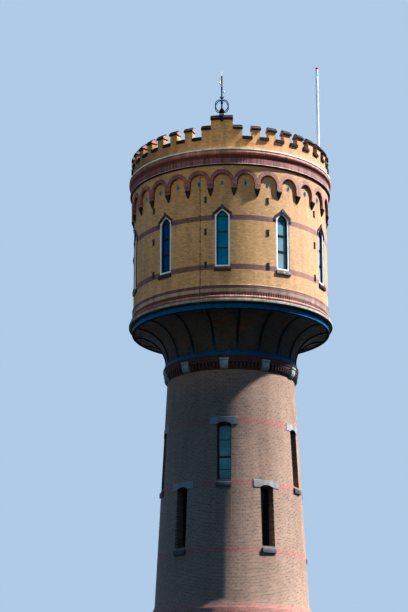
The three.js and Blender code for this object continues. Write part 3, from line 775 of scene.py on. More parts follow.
def arch_mapping(shader):
    """Round each small arch: the length along its ring, and the distance from its centre."""
    pitch = math.radians(ARCH_PITCH)
    shifted = shader.math("ADD", shader.azimuth(), 50.5 * pitch)
    local = shader.math("SUBTRACT", shader.math("MODULO", shifted, pitch), pitch / 2)
    across = shader.math("MULTIPLY", local, ARCADE_FACE)
    above = shader.math("SUBTRACT", shader.split()[2], ARCH_SPRING)
    turn = shader.math("ARCTAN2", above, across)
    middle = (ARCH_RADIUS + ARCH_OUTER_RISE) / 2
    along = shader.math("MULTIPLY", turn, middle)
    return along, shader.math("ADD", shader.reach(across, above), 1.0)


def tones(colours, key, spread):
    """Four tones of one brick colour, from burnt to pale, each with its position."""
    shares = ((0.0, -1.5), (0.35, -0.4), (0.7, 0.3), (1.0, 1.0))
    return [(position, scaled(getattr(colours, key), 1 + spread * share)) for position, share in shares]


def brick(name, radius, key, mortar, spread=0.28, belts=None, **details):
    """Brickwork in the panel's colours. Belts are (limits of each, colour, spread)."""
    def make(colours):
        bands = []
        if belts:
            limits, belt, belt_spread = belts
            bands = [(bottom, top, tones(colours, belt, belt_spread)) for bottom, top in limits]
        bricks = tones(colours, key, spread)
        return brick_material(name, radius, bricks, getattr(colours, mortar), bands=bands, **details)

    return make


def stone(name, key, share, rough=0.8):
    """A stone in one of the panel's colours, clouded with a share of it."""
    def make(colours):
        base = getattr(colours, key)
        return stone_material(name, base, scaled(base, share), rough)

    return make


def paint(name, key, share, rough, metallic=0.0, shine=False, **details):
    """A paint in one of the panel's colours that chalks to a share of it. It may shine in it too."""
    def make(colours):
        base = getattr(colours, key)
        gloss = base if shine else None
        worn = scaled(base, share)
        return paint_material(name, base, worn, rough, metallic, shine=gloss, **details)

    return make


def fixed(material, name, first, second, *values, **details):
    """A material in two colours that the panel doesn't offer."""
    return lambda colours: material(name, srgb(*first), srgb(*second), *values, **details)


def finish(name):
    """A material by name, made once."""
    if name not in MADE:
        MADE[name] = MATERIALS[name](bpy.context.scene.tower_colours)
    return MADE[name]


MADE = {}
# A pale tint painted on the sunny right side as sunlight.
PAINTED_SUN_TINT = (0.8, 4.2, srgb(214, 166, 144), 0.35)
UPRIGHT = {"rows": False, "course": 2.0}
SOLDIER = 2 * math.pi * CORNICE_RADIUS / SOLDIERS
# The x-ranges that darken the left side are painted shade, and those that pale the right side are painted
# sunlight.
MATERIALS = {
    "drum_brick": brick(
        "drum_yellow_brick", DRUM_RADIUS, "drum", "drum_mortar", 0.15, (DRUM_BELTS, "purple", 0.28),
        amount=0.16, streaks=0.15, faded=PAINTED_SUN_TINT,
    ),
    "purple_brick": brick("purple_brick", DRUM_RADIUS, "purple", "dark_mortar", faded=PAINTED_SUN_TINT),
    "hood_brick": brick("window_hood_brick", DRUM_RADIUS, "hood", "dark_mortar"),
    # The arch rings are paler on the right as painted sunlight.
    "arch_brick": brick(
        "arch_ring_brick", DRUM_RADIUS, "arch", "dark_mortar", mapping=arch_mapping,
        rows=False, course=0.12, length=0.07, faded=(0.6, 4.0, srgb(226, 190, 168), 0.5),
    ),
    # The soldier course is darker on the left as painted shade and paler on the right as painted sunlight.
    "soldier_brick": brick(
        "soldier_brick", CORNICE_RADIUS, "fascia", "fascia_mortar", 0.4, **UPRIGHT, length=SOLDIER,
        joint=0.014, soot=(-4.9, -0.6, 0.5), faded=(0.6, 4.2, srgb(214, 178, 158), 0.5),
    ),
    "cove_brick": brick("cove_brick", CORNICE_RADIUS, "cove", "dark_mortar", **UPRIGHT, length=SOLDIER),
    # The roll is darker on the left as painted shade.
    "roll_brick": brick(
        "salmon_roll_brick", CORNICE_RADIUS, "salmon", "dark_mortar", 0.2, **UPRIGHT, length=0.115,
        soot=(-4.9, 0.4, 0.5),
    ),
    # The parapet is darker on the left: painted shade, with real dirt there as well. It is paler on the
    # right as painted sunlight.
    "parapet_brick": brick(
        "parapet_brick", PARAPET_OUTER, "parapet", "parapet_mortar", 0.16, amount=0.16, streaks=0.2,
        soot=(-4.4, -0.6, 0.4), faded=(0.6, 3.6, srgb(206, 148, 122), 0.65),
    ),
    "shaft_brick": brick(
        "shaft_brick", SHAFT_MIDDLE, "shaft", "shaft_mortar", belts=(SHAFT_BANDS, "band", 0.25),
        amount=0.14, streaks=0.12,
    ),
    "neck_brick": brick("neck_brick", CORBEL_RADIUS, "neck", "neck_mortar", 0.4),
    "bowl_brick": brick(
        "bowl_brick", BOWL_MIDDLE, "bowl", "bowl_mortar", 0.6, mapping=flare_mapping, amount=0.5,
        rust=srgb(104, 72, 52),
    ),
    "ring_stone": stone("ring_stone", "stone", 0.6),
    "lintel_stone": stone("lintel_stone", "lintel", 0.72),
    "bluestone": stone("bluestone", "bluestone", 0.6, 0.7),
    "sill_stone": stone("sill_stone", "sill", 0.55, 0.6),
    "corbel_stone": stone("corbel_stone", "corbel", 0.55),
    "block_stone": stone("block_stone", "block", 0.7),
    "key_stone": stone("key_stone", "key_stone", 0.6),
    "cement": stone("cement_fillet", "cement", 0.75),
    "stand_stone": fixed(stone_material, "stand_stone", (255, 238, 232), (236, 206, 198)),
    # Near-black plate painted as the shade behind the vents.
    "painted_room_shade": fixed(stone_material, "vent_dark", (14, 18, 24), (6, 8, 12)),
    "blue_steel": paint("blue_steel_paint", "steel", 1.5, 0.45, shine=True),
    "rib_steel": lambda colours: rib_material(colours.steel, colours.rib),
    "white_paint": paint("white_paint", "white", 0.9, 0.4, dirt=0.08),
    "dark_paint": paint("dark_frame_paint", "frame", 1.7, 0.42),
    "iron": paint("wrought_iron", "iron", 2.2, 0.5, 0.3, size=18.0),
    "stand_iron": paint("stand_paint", "stand", 1.8, 0.6, size=18.0, shine=True),
    # Near-black tiles; the same paint also makes the strips of painted shadow in the cornice and under the
    # stone ring.
    "coping": paint("coping_tile", "coping", 2.2, 0.8, size=9.0),
    # The tiles' slopes in a paler tone: a painted highlight.
    "coping_slope": paint("coping_slope", "coping_slope", 0.6, 0.8, size=9.0),
    "coping_end": fixed(paint_material, "coping_end", (190, 142, 130), (156, 112, 104), 0.8, size=9.0),
    # Near-black dome paint; it also paints the shade under the ring girder.
    "dome_iron_and_underside_shade": fixed(
        paint_material, "dome_paint", (6, 10, 14), (16, 20, 26), 0.85, size=18.0,
        shine=srgb(10, 20, 30),
    ),
    "mast_paint": fixed(
        paint_material, "mast_paint", (246, 248, 250), (228, 232, 236), 0.35, milky=0.25,
    ),
    "red_cap": fixed(
        paint_material, "red_cap_paint", (250, 66, 40), (255, 110, 80), 0.35, size=20.0, milky=0.1,
    ),
    "conductor": fixed(
        paint_material, "conductor_copper", (72, 92, 88), (96, 118, 108), 0.6, size=12.0,
    ),
    "vent_glaze": fixed(paint_material, "vent_glaze", (70, 150, 186), (120, 178, 204), 0.3, size=24.0),
    "lead": fixed(paint_material, "sheet_lead", (244, 242, 238), (206, 206, 206), 0.5, 0.05),
    "zinc": fixed(paint_material, "roof_zinc", (140, 146, 150), (104, 110, 116), 0.45, 0.5, size=1.6),
    # Gold painted near-white as the sun's glint, with orange gold showing in patches.
    "gilt": fixed(paint_material, "gilding", (255, 246, 220), (240, 172, 108), 0.4, 0.2, size=22.0),
    "drum_glass": lambda colours: drum_glass_material(colours.glass),
    "shaft_glass": lambda colours: shaft_glass_material(colours.dark_glass),
    "door_boards": fixed(timber_material, "door_boards", (52, 74, 62), (30, 46, 40), 0.135),
    "floor_boards": fixed(timber_material, "floor_boards", (150, 122, 92), (104, 82, 60)),
}

# Shaft, base and their windows


def rows_of_windows():
    """Each shaft window's azimuth, sill height and crown height."""
    for row, offset in ROWS:
        sill, crown = low(f"{row}_1").z, high(f"{row}_1").z
        for i in range(SEGMENTS):
            yield row, offset + i * 360 / SEGMENTS, sill, crown


def door_outline(inset=0.0):
    """The opening for the door, as wide as its frame."""
    door_low, door_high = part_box("door_frame")
    return segmental(door_high.x - door_low.x, door_low.z, door_high.z, DOOR_RISE, inset)


def shaft_openings():
    """Cutters for the fifteen shaft windows and the door."""
    cutters = Solid()
    for _, azimuth, sill, crown in rows_of_windows():
        outline = segmental(WINDOW_WIDTH, sill, crown, WINDOW_RISE)
        cutters.prism(outline, shaft_radius(crown) - 1.0, base_radius(0.0) + 0.5, azimuth)
    outline = door_outline()
    above_slab = [(x, max(z, PLINTH_TOP - 0.62) if z < 1 else z) for x, z in outline]
    cutters.prism(above_slab, 3.0, 5.0, 0.0)
    return cutters


def build_shaft():
    """The battered wall of the base and the shaft in one, with its openings."""
    wall = Solid()
    foot, weathering = PLINTH_TOP + GAP, BASE_TOP + WEATHERING
    wall.ring([
        (shaft_radius(foot) - SHAFT_WALL, foot),
        (base_radius(foot), foot),
        (BASE_TOP_RADIUS, BASE_TOP),
        (BASE_TOP_RADIUS - 0.012, BASE_TOP + 0.02),
        (shaft_radius(weathering), weathering),
        (shaft_radius(SHAFT_TOP), SHAFT_TOP),
        (shaft_radius(SHAFT_TOP) - SHAFT_WALL, SHAFT_TOP),
    ])
    piece("shaft_brickwork", wall, ["shaft_brick"],
          numbered("tower_wall", SEGMENTS), openings=shaft_openings())


def build_dressings():
    """Stone lintels over the shaft windows, sills under them and slabs from sill to frame."""
    lintels, sills = Solid(), Solid()
    for _, azimuth, sill, crown in rows_of_windows():
        bottom = crown - LINTEL_OVERLAP
        top = bottom + LINTEL_HEIGHT
        face = wall_radius(bottom) + LINTEL_PROUD
        half = math.degrees(math.asin(LINTEL_WIDTH / 2 / face))
        head = wall_radius(top) + LINTEL_PROUD
        lintels.ring([
            (face - 0.24, bottom), (face - 0.006, bottom), (face, bottom + 0.006),
            (head, top - 0.006), (head - 0.006, top), (face - 0.24, top),
        ], azimuth - half, azimuth + half)
        base = sill - SHAFT_SILL_HEIGHT
        out = wall_radius(base) + SHAFT_SILL_PROUD
        half = math.degrees(math.asin(SHAFT_SILL_WIDTH / 2 / out))
        sills.ring([
            (out - 0.3, base), (out - 0.008, base), (out, base + 0.008), (out, sill - 0.11),
            (out - 0.008, sill - 0.1), (out - 0.27, sill - 0.004), (out - 0.3, sill - 0.004),
        ], azimuth - half, azimuth + half)
        inner = wall_radius(crown) - WINDOW_RECESS + 0.002
        outer = wall_radius(sill) - 0.03
        across, bed = WINDOW_WIDTH / 2 - 0.002, sill + 0.001
        loops = []
        for distance, height in ((outer, sill + 0.012), (inner, sill + 0.07)):
            corners = ((-across, bed), (across, bed), (across, height), (-across, height))
            loops.append([flat(x, distance, z, azimuth) for x, z in corners])
        sills.loft(loops, 1)
    piece("shaft_lintels", lintels, ["lintel_stone"], openings=shaft_openings())
    piece("shaft_sills", sills, ["bluestone", "lintel_stone"])


def shaft_window(solid, azimuth, sill, crown):
    """A dark frame with a transom and two inner sashes over one light of glass."""
    face = wall_radius(crown) - WINDOW_RECESS
    back = face - WINDOW_DEPTH

    def outline(inset):
        return segmental(WINDOW_WIDTH, sill, crown, WINDOW_RISE, inset)

    solid.border(outline(0.0), outline(WINDOW_FRAME * 0.6), back, face, azimuth)
    sash = (outline(WINDOW_FRAME * 0.55), outline(WINDOW_FRAME + 0.012))
    solid.border(*sash, back + 0.02, face - 0.014, azimuth)
    solid.prism(outline(WINDOW_FRAME * 0.8), back + 0.034, back + 0.046, azimuth, paint=1)
    half = WINDOW_WIDTH / 2 - WINDOW_FRAME
    transom = sill + (crown - sill) * 0.43
    limits = (transom - 0.035, transom + 0.035)
    solid.block((-half, half), (back + 0.02, face - 0.008), limits, azimuth, edge=0.008)
    for share in (0.215, 0.72):
        bar = sill + (crown - sill) * share
        solid.block((-half, half), (back + 0.03, face - 0.024), (bar - 0.011, bar + 0.011), azimuth)


def build_shaft_windows():
    """One piece for each row of windows."""
    for row, _ in ROWS:
        solid = Solid()
        for name, azimuth, sill, crown in rows_of_windows():
            if name == row:
                shaft_window(solid, azimuth, sill, crown)
        piece(f"{row}s", solid, ["dark_paint", "shaft_glass"],
              numbered(row, SEGMENTS))


# Foot


def build_foot():
    """Plinth of two courses of dressed stones, open at the door."""
    plinth = Solid()
    inner = high("ground_floor").x + 2 * GAP
    gap = math.degrees(math.asin(0.65 / PLINTH_RADIUS))
    stones, courses = 25, 2
    tall = PLINTH_TOP / courses
    joint = math.degrees(0.004 / PLINTH_RADIUS)
    for course in range(courses):
        bottom, top = course * tall, (course + 1) * tall
        batter = 0.06 if course == courses - 1 else 0.004
        profile = [
            (inner, bottom + 0.003), (PLINTH_RADIUS - 0.006, bottom + 0.003),
            (PLINTH_RADIUS, bottom + 0.009), (PLINTH_RADIUS, top - 0.009 - batter),
            (PLINTH_RADIUS - batter, top - 0.003), (inner, top - 0.003),
        ]
        width = (360 - 2 * gap) / stones
        cuts = [gap + width * i for i in range(stones + 1)]
        if course % 2:
            cuts = [gap, *[gap + width * (i + 0.5) for i in range(stones)], 360 - gap]
        for start, end in zip(cuts, cuts[1:]):
            plinth.ring(profile, start + joint, end - joint)
    bed = plain_course(inner, PLINTH_RADIUS - 0.012, 0.0, PLINTH_TOP - 0.08)
    plinth.ring(bed, gap, 360 - gap, paint=1)
    piece("plinth_stones", plinth, ["lintel_stone", "corbel_stone"], ["plinth"])


def build_door():
    """A boarded pair of leaves on strap hinges in a dark frame, with a brick arch over it."""
    frame_low, frame_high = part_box("door_frame")
    back, face = -frame_high.y, -frame_low.y
    solid = Solid()
    solid.border(door_outline(), door_outline(0.05), back, face, 0.0)
    solid.border(door_outline(0.045), door_outline(0.092), back + 0.01, face - 0.025, 0.0)
    piece("door_surround", solid, ["dark_paint"], ["door_frame"])

    leaf = Solid()
    door_low, door_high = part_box("door")
    back, face, foot = -door_high.y, -door_low.y, door_low.z
    boards, half, rise = 8, door_high.x, 0.12
    width = 2 * half / boards
    for i in range(boards):
        left, right = -half + i * width + 0.003, -half + (i + 1) * width - 0.003
        top = door_high.z - rise * max(abs(left), abs(right)) ** 2 / half ** 2 - 0.01
        leaf.block((left, right), (back, face), (foot, top), 0.0, edge=0.005)
    leaf.block((-half, half), (back, face - 0.012), (foot, door_high.z - rise - 0.02), 0.0)
    strap = face + 0.009
    for height in (0.55, 1.35, 2.1):
        for side in (-1, 1):
            across = sorted((side * 0.03, side * half))
            up = (height - 0.03, height + 0.03)
            leaf.block(across, (face, strap), up, 0.0, paint=1, edge=0.003)
            for k in range(4):
                leaf.stud(0.0, strap, height, 0.014, 0.008, 8, 1, side * (0.09 + 0.14 * k))
    leaf.stud(0.0, face, 1.25, 0.035, 0.02, 12, 1, 0.09)
    piece("door_leaves", leaf, ["door_boards", "iron"], ["door"])

    arch = Solid()
    half, crown = (frame_high.x - frame_low.x) / 2, frame_high.z
    radius = (half ** 2 + DOOR_RISE ** 2) / (2 * DOOR_RISE)
    bricks, tall, wall = 19, 0.24, base_radius(crown)
    reach = math.asin(half / radius) * 1.02
    for i in range(bricks):
        turns = [reach * (2 * (i + share) / bricks - 1) for share in (0.06, 0.94)]
        low_edge, high_edge = (
            [(r * math.sin(a), crown - radius + r * math.cos(a)) for a in turns]
            for r in (radius, radius + tall)
        )
        outline, faces = [*low_edge, *reversed(high_edge)], (wall + 0.014, wall - 0.15)
        arch.loft([[bent(x, out, z, 0.0, wall) for x, z in outline] for out in faces])
    piece("door_arch", arch, ["neck_brick"])


def build_inside():
    """Finishes for the CAD nodes that keep their shape: floors, ground slab and door step."""
    dressed = {
        "floor_boards": ("base_floor", "lower_floor", "upper_floor", "drum_floor"),
        "lintel_stone": ("ground_floor", "door_step"),
    }
    for key, nodes in dressed.items():
        for node in nodes:
            mesh = frame["nodes"][node].data
            mesh.materials.clear()
            mesh.materials.append(finish(key))


# Neck, bowl and steel cradle


def build_neck():
    """Four oversailing courses with a row of dentils and ten capped stone blocks."""
    solid = Solid()
    inner, foot = shaft_radius(SHAFT_TOP) - SHAFT_WALL, SHAFT_TOP + GAP
    solid.ring([
        (inner, foot), (3.005, foot), (3.02, 22.33), (3.02, 22.62), (3.15, 22.625),
        (3.155, 22.74), (3.178, 22.745), (3.18, 22.86), (3.2, 22.865), (3.2, 22.925),
        (3.19, CORBEL_TOP), (inner, CORBEL_TOP),
    ])
    dentil = [(2.98, 22.34), (3.05, 22.34), (3.13, 22.43), (3.142, 22.62), (2.98, 22.62)]
    dentils, near_block = 110, 4.6
    half = math.degrees(0.052 / 3.12)
    for i in range(dentils):
        centre = 360 * i / dentils
        if abs((centre - BLOCK_TURN + BAY / 2) % BAY - BAY / 2) >= near_block:
            solid.ring(dentil, centre - half, centre + half, step=5)
    back, top = 2.96, 22.7
    block = [
        (back, SHAFT_TOP), (3.05, SHAFT_TOP), (3.1, 22.34), (3.17, 22.45), (3.19, 22.52), (3.19, top),
        (back, top),
    ]
    cap = [
        (back, top + GAP), (3.21, top + GAP), (3.225, 22.715), (3.225, 22.79), (3.215, 22.8),
        (back, 22.8),
    ]
    for i in range(BAYS):
        centre = i * BAY + BLOCK_TURN
        for profile, reach in ((block, 0.2), (cap, 0.225)):
            half = math.degrees(reach / CORBEL_RADIUS)
            solid.ring(profile, centre - half, centre + half, paint=1)
    piece("neck_courses", solid, ["neck_brick", "block_stone"], ["neck_corbel"])


def flare_points(radius, start=0.0, end=90.0):
    """Points up the bowl's quarter-round, at a distance from the centre of its curve."""
    return arc((BOWL_RIM, FLARE_BOTTOM), radius, 180 - start, 180 - end, 24)


def build_bowl():
    """The quarter-round flare and its wall, from the neck up to the rim."""
    inside = FLARE + BOWL_WALL
    last = math.degrees(math.asin((BOWL_TOP - FLARE_BOTTOM) / inside))
    solid = Solid()
    solid.ring([
        (NECK_RADIUS - BOWL_WALL, CORBEL_TOP + GAP), (NECK_RADIUS, CORBEL_TOP + GAP),
        *flare_points(FLARE), (BOWL_RIM, BOWL_TOP),
        *reversed(flare_points(inside, 0.0, last)),
    ])
    piece("bowl_brickwork", solid, ["bowl_brick"], ["bowl"])


def build_cradle():
    """Neck ring, ribs with flanges, ring girder, and their rivets."""
    solid = Solid()
    top, bottom = NECK_TOP, CORBEL_TOP + GAP
    back, plate, lip = NECK_RADIUS + 0.001, 3.108, 3.125
    solid.ring([
        (back, bottom), (lip - 0.003, bottom), (lip, bottom + 0.01), (lip, bottom + 0.03),
        (plate, bottom + 0.036), (plate, top - 0.036), (lip, top - 0.03), (lip, top - 0.008),
        (lip - 0.007, top), (back, top),
    ])
    back, web = BOWL_RIM + 0.001, GIRDER_RADIUS - 0.012
    solid.ring([
        (back, GIRDER_BOTTOM), (GIRDER_RADIUS, GIRDER_BOTTOM), (GIRDER_RADIUS, GIRDER_BOTTOM + 0.018),
        (web, GIRDER_BOTTOM + 0.022), (web, GIRDER_TOP - 0.022),
        (GIRDER_RADIUS, GIRDER_TOP - 0.018), (GIRDER_RADIUS, GIRDER_TOP), (back, GIRDER_TOP),
    ])
    # A near-black sheet under the girder, painted as the shade on its underside.
    painted_underside_shade = plain_course(back, GIRDER_RADIUS - 0.006, GIRDER_BOTTOM - 0.012, GIRDER_BOTTOM - GAP)
    solid.ring(painted_underside_shade, paint=1)
    last = 88.0
    rise = flare_points(FLARE, 0.0, last)
    ribs = Solid()
    for i in range(RIBS):
        azimuth = RIB_START + i * 360 / RIBS
        for half, near, far in ((RIB_WIDTH / 2, 0.043, 0.055), (0.008, 0.0, 0.044)):
            loops = []
            for k, (out, up) in enumerate([(NECK_RADIUS, NECK_TOP - 0.06), *rise]):
                angle = math.radians(last * max(k - 1, 0) / (len(rise) - 1))
                away = (math.cos(angle), -math.sin(angle))
                section = ((-half, near), (-half, far), (half, far), (half, near))
                places = [(x, out + away[0] * d, up + away[1] * d) for x, d in section]
                loops.append([flat(*place, azimuth) for place in places])
            ribs.loft(loops)
    for count, out, heights in (
        (180, web, (GIRDER_BOTTOM + 0.06, GIRDER_TOP - 0.06)), (108, plate, ((top + bottom) / 2,)),
    ):
        for i in range(count):
            for up in heights:
                solid.stud(360 * (i + 0.5) / count, out, up, 0.012, 0.009, 6)
    piece("steel_cradle_rings", solid, ["blue_steel", "dome_iron_and_underside_shade"], ["steel_cradle"])
    piece("steel_cradle_ribs", ribs, ["rib_steel"])


# Drum


def build_drum_foot():
    """Stone ring, the salmon roll, dentils and the courses up to the drum's wall."""
    stones = Solid()
    count = 30
    joint = math.degrees(0.003 / STONE_RADIUS)
    inner, shadow_strip = 4.05, STONE_BOTTOM + 0.05
    profile = [
        (inner, shadow_strip + GAP), (STONE_RADIUS - 0.01, shadow_strip + GAP), (STONE_RADIUS, shadow_strip + 0.01),
        (STONE_RADIUS, STONE_TOP - 0.05), (STONE_RADIUS - 0.012, STONE_TOP - 0.025),
        (STONE_RADIUS - 0.06, STONE_TOP), (inner, STONE_TOP),
    ]
    for i in range(count):
        stones.ring(profile, i * 360 / count + joint, (i + 1) * 360 / count - joint)
    # The recessed course under the stones is near-black, painted as the shadow line above the girder.
    stones.ring(plain_course(inner, STONE_RADIUS - 0.05, STONE_BOTTOM, shadow_strip), paint=1)
    piece("drum_stone_ring", stones, ["ring_stone", "coping"], ["stone_ring"])

    courses = Solid()
    roll, cove, purple, cement = range(4)
    roll_foot, roll_head, dentil_head, cement_head = 25.165, 25.311, 25.475, 25.615
    belt_foot, belt_head = 25.645, 25.79
    courses.ring(plain_course(DRUM_INNER, 4.735, STONE_TOP + GAP, roll_foot), paint=cove)
    half_round = arc((ROLL_RADIUS - 0.072, 25.238), 0.072, -80, 80, 10)
    courses.ring([(DRUM_INNER, roll_foot + GAP), *half_round, (DRUM_INNER, roll_head)], paint=roll)
    courses.ring(plain_course(DRUM_INNER, 4.655, roll_head + GAP, dentil_head), paint=cove)
    dentils, face = 240, 4.69
    half = math.radians(360 / dentils) / 2 * face - 0.026
    for i in range(dentils):
        height = (roll_head + 0.002, dentil_head - 0.003)
        courses.block((-half, half), (4.65, face), height, 360 * i / dentils, face, purple)
    courses.ring([
        (DRUM_INNER, dentil_head + GAP), (4.685, dentil_head + GAP), (face, 25.483), (face, FOOT_TOP),
        (DRUM_INNER, FOOT_TOP),
    ], paint=cement)
    bed = DRUM_RADIUS - 0.05
    courses.ring(plain_course(bed, face, FOOT_TOP, cement_head), paint=cement)
    courses.ring(plain_course(bed, 4.697, cement_head + GAP, belt_foot), paint=cement)
    courses.ring(plain_course(bed, 4.695, belt_foot + GAP, belt_head), paint=purple)
    courses.ring([
        (bed, belt_head + GAP), (4.702, belt_head + GAP), (4.702, 25.812),
        (DRUM_RADIUS + 0.002, 25.835), (bed, 25.835),
    ], paint=cement)
    names = ("roll_brick", "cove_brick", "purple_brick", "cement")
    piece("drum_foot_courses", courses, names, ["drum_base_course"])


def drum_outline(inset=0.0):
    """The opening for a drum window."""
    return pointed(PANE_WIDTH, PANE_SILL, PANE_CROWN, PANE_RISE, inset)


def build_drum():
    """The drum's wall with ten pointed openings."""
    wall, cutters = Solid(), Solid()
    wall.ring(plain_course(DRUM_INNER, DRUM_RADIUS, FOOT_TOP + GAP, DRUM_TOP))
    for i in range(BAYS):
        cutters.prism(drum_outline(), DRUM_INNER - 0.4, DRUM_RADIUS + 0.4, i * BAY)
    piece("drum_brickwork", wall, ["drum_brick"],
          numbered("drum_wall", SEGMENTS), openings=cutters)


def build_drum_windows():
    """White frames round dark inner sashes and their dark glazing bars."""
    solid = Solid()
    back = PANE_FACE - 0.09
    front = DRUM_RADIUS - 0.035
    for i in range(BAYS):
        azimuth = i * BAY
        solid.border(drum_outline(0.003), drum_outline(0.082), back, front, azimuth)
        sash = (drum_outline(0.08), drum_outline(0.12))
        solid.border(*sash, back + 0.01, PANE_FACE + 0.01, azimuth, paint=2)
        solid.prism(drum_outline(0.09), back + 0.035, back + 0.047, azimuth, paint=1)
        half = PANE_WIDTH / 2 - 0.1
        for bar in PANE_BARS:
            limits = (bar - 0.02, bar + 0.02)
            solid.block((-half, half), (back + 0.04, PANE_FACE), limits, azimuth, paint=2)
    names = ("white_paint", "drum_glass", "iron")
    piece("drum_windows", solid, names, numbered("drum_window", BAYS))


def build_drum_dressings():
    """Sills under the drum's windows, and gabled brick heads with a keystone and two springers."""
    sills, heads = Solid(), Solid()
    back = DRUM_RADIUS - 0.1
    slope = PANE_RISE / (PANE_WIDTH / 2)
    key, reach, thick, bricks = 0.065, 0.45, 0.165, 6
    nose = 4.72
    half = math.degrees(math.asin(0.388 / nose))
    sill_profile = [
        (DRUM_RADIUS - 0.06, PANE_SILL - 0.23), (nose - 0.01, PANE_SILL - 0.23),
        (nose, PANE_SILL - 0.22), (nose, PANE_SILL - 0.085), (nose - 0.008, PANE_SILL - 0.075),
        (DRUM_RADIUS - 0.055, PANE_SILL - 0.004), (DRUM_RADIUS - 0.06, PANE_SILL - 0.004),
    ]
    keystone = [
        (-key, PANE_CROWN - 0.045, PANE_CROWN + 0.13), (0.0, PANE_CROWN + 0.006, PANE_CROWN + 0.19),
        (key, PANE_CROWN - 0.045, PANE_CROWN + 0.13),
    ]
    for i in range(BAYS):
        azimuth = i * BAY
        sills.ring(sill_profile, azimuth - half, azimuth + half)
        for side in (-1, 1):
            for k in range(bricks):
                near = key + (reach - key) * k / bricks + 0.004
                far = key + (reach - key) * (k + 1) / bricks - 0.004
                edges = []
                for x in sorted((side * near, side * far)):
                    under = PANE_CROWN - slope * min(abs(x), PANE_WIDTH / 2) + 0.004
                    edges.append((x, under, PANE_CROWN + thick - slope * abs(x)))
                heads.columns(edges, back, DRUM_RADIUS + 0.022, azimuth, DRUM_RADIUS)
            spring = sorted((side * (PANE_WIDTH / 2 + 0.006), side * (PANE_WIDTH / 2 + 0.12)))
            out, up = (back, DRUM_RADIUS + 0.035), (29.05, 29.19)
            heads.block(spring, out, up, azimuth, DRUM_RADIUS, 1, 0.008)
        heads.columns(keystone, back, DRUM_RADIUS + 0.045, azimuth, DRUM_RADIUS, 1)
    piece("drum_window_sills", sills, ["sill_stone"])
    piece("drum_window_heads", heads, ["hood_brick", "key_stone"])


def build_arcade():
    """Blind arcade: brick field, rings of the arches, brick piers and tapered stone corbels."""
    field, corbels = Solid(), Solid()
    half_pitch = math.radians(ARCH_PITCH) / 2 * ARCADE_FACE
    inner = DRUM_RADIUS - 0.02

    def arch(x, half, rise):
        return ARCH_SPRING + rise * math.sqrt(max(1 - (x / half) ** 2, 0.0))

    steps = 22
    curve = [ARCH_RADIUS * math.sin(math.radians(-90 + 180 * i / steps)) for i in range(steps + 1)]
    under = [(-half_pitch, CORBEL_HEAD), (-ARCH_RADIUS - 0.0005, CORBEL_HEAD)]
    under += [(x, arch(x, ARCH_RADIUS, ARCH_RADIUS)) for x in curve]
    under += [(ARCH_RADIUS + 0.0005, CORBEL_HEAD), (half_pitch, CORBEL_HEAD)]
    wall = [(x, z, DRUM_TOP) for x, z in under]
    ring = [(x, z, max(arch(x, ARCH_OUTER_HALF, ARCH_OUTER_RISE), z + 0.02)) for x, z in under]
    half_pier = half_pitch - ARCH_RADIUS
    head = CORBEL_HEAD - 0.14
    pier = (
        (half_pier, ARCADE_FACE, CORBEL_HEAD - GAP),
        (half_pier - 0.03, ARCADE_FACE - 0.002, head + GAP),
    )
    corbel = (
        (half_pier - 0.024, ARCADE_FACE + 0.006, head),
        (half_pier - 0.024, ARCADE_FACE + 0.006, head - 0.05),
        (half_pier - 0.036, ARCADE_FACE - 0.008, head - 0.062), (0.034, 4.69, ARCADE_BOTTOM),
    )
    for i in range(ARCHES):
        azimuth = i * ARCH_PITCH
        side = azimuth + ARCH_PITCH / 2
        field.columns(wall, inner, ARCADE_FACE - 0.012, azimuth, ARCADE_FACE)
        field.columns(ring, inner, ARCADE_FACE, azimuth, ARCADE_FACE, paint=1)
        for solid, paint, stages in ((field, 1, pier), (corbels, 0, corbel)):
            loops = []
            for half, out, up in stages:
                corners = ((-half, inner), (half, inner), (half, out), (-half, out))
                loops.append([bent(x, r, up, side, ARCADE_FACE) for x, r in corners])
            solid.loft(loops, paint=paint)
    piece("arcade_arches", field, ["drum_brick", "arch_brick"], ["arcade"])
    piece("arcade_corbels", corbels, ["corbel_stone"])


def oval(width, height, centre):
    angles = [2 * math.pi * i / 16 for i in range(16)]
    return [(width / 2 * math.cos(a), centre + height / 2 * math.sin(a)) for a in angles]


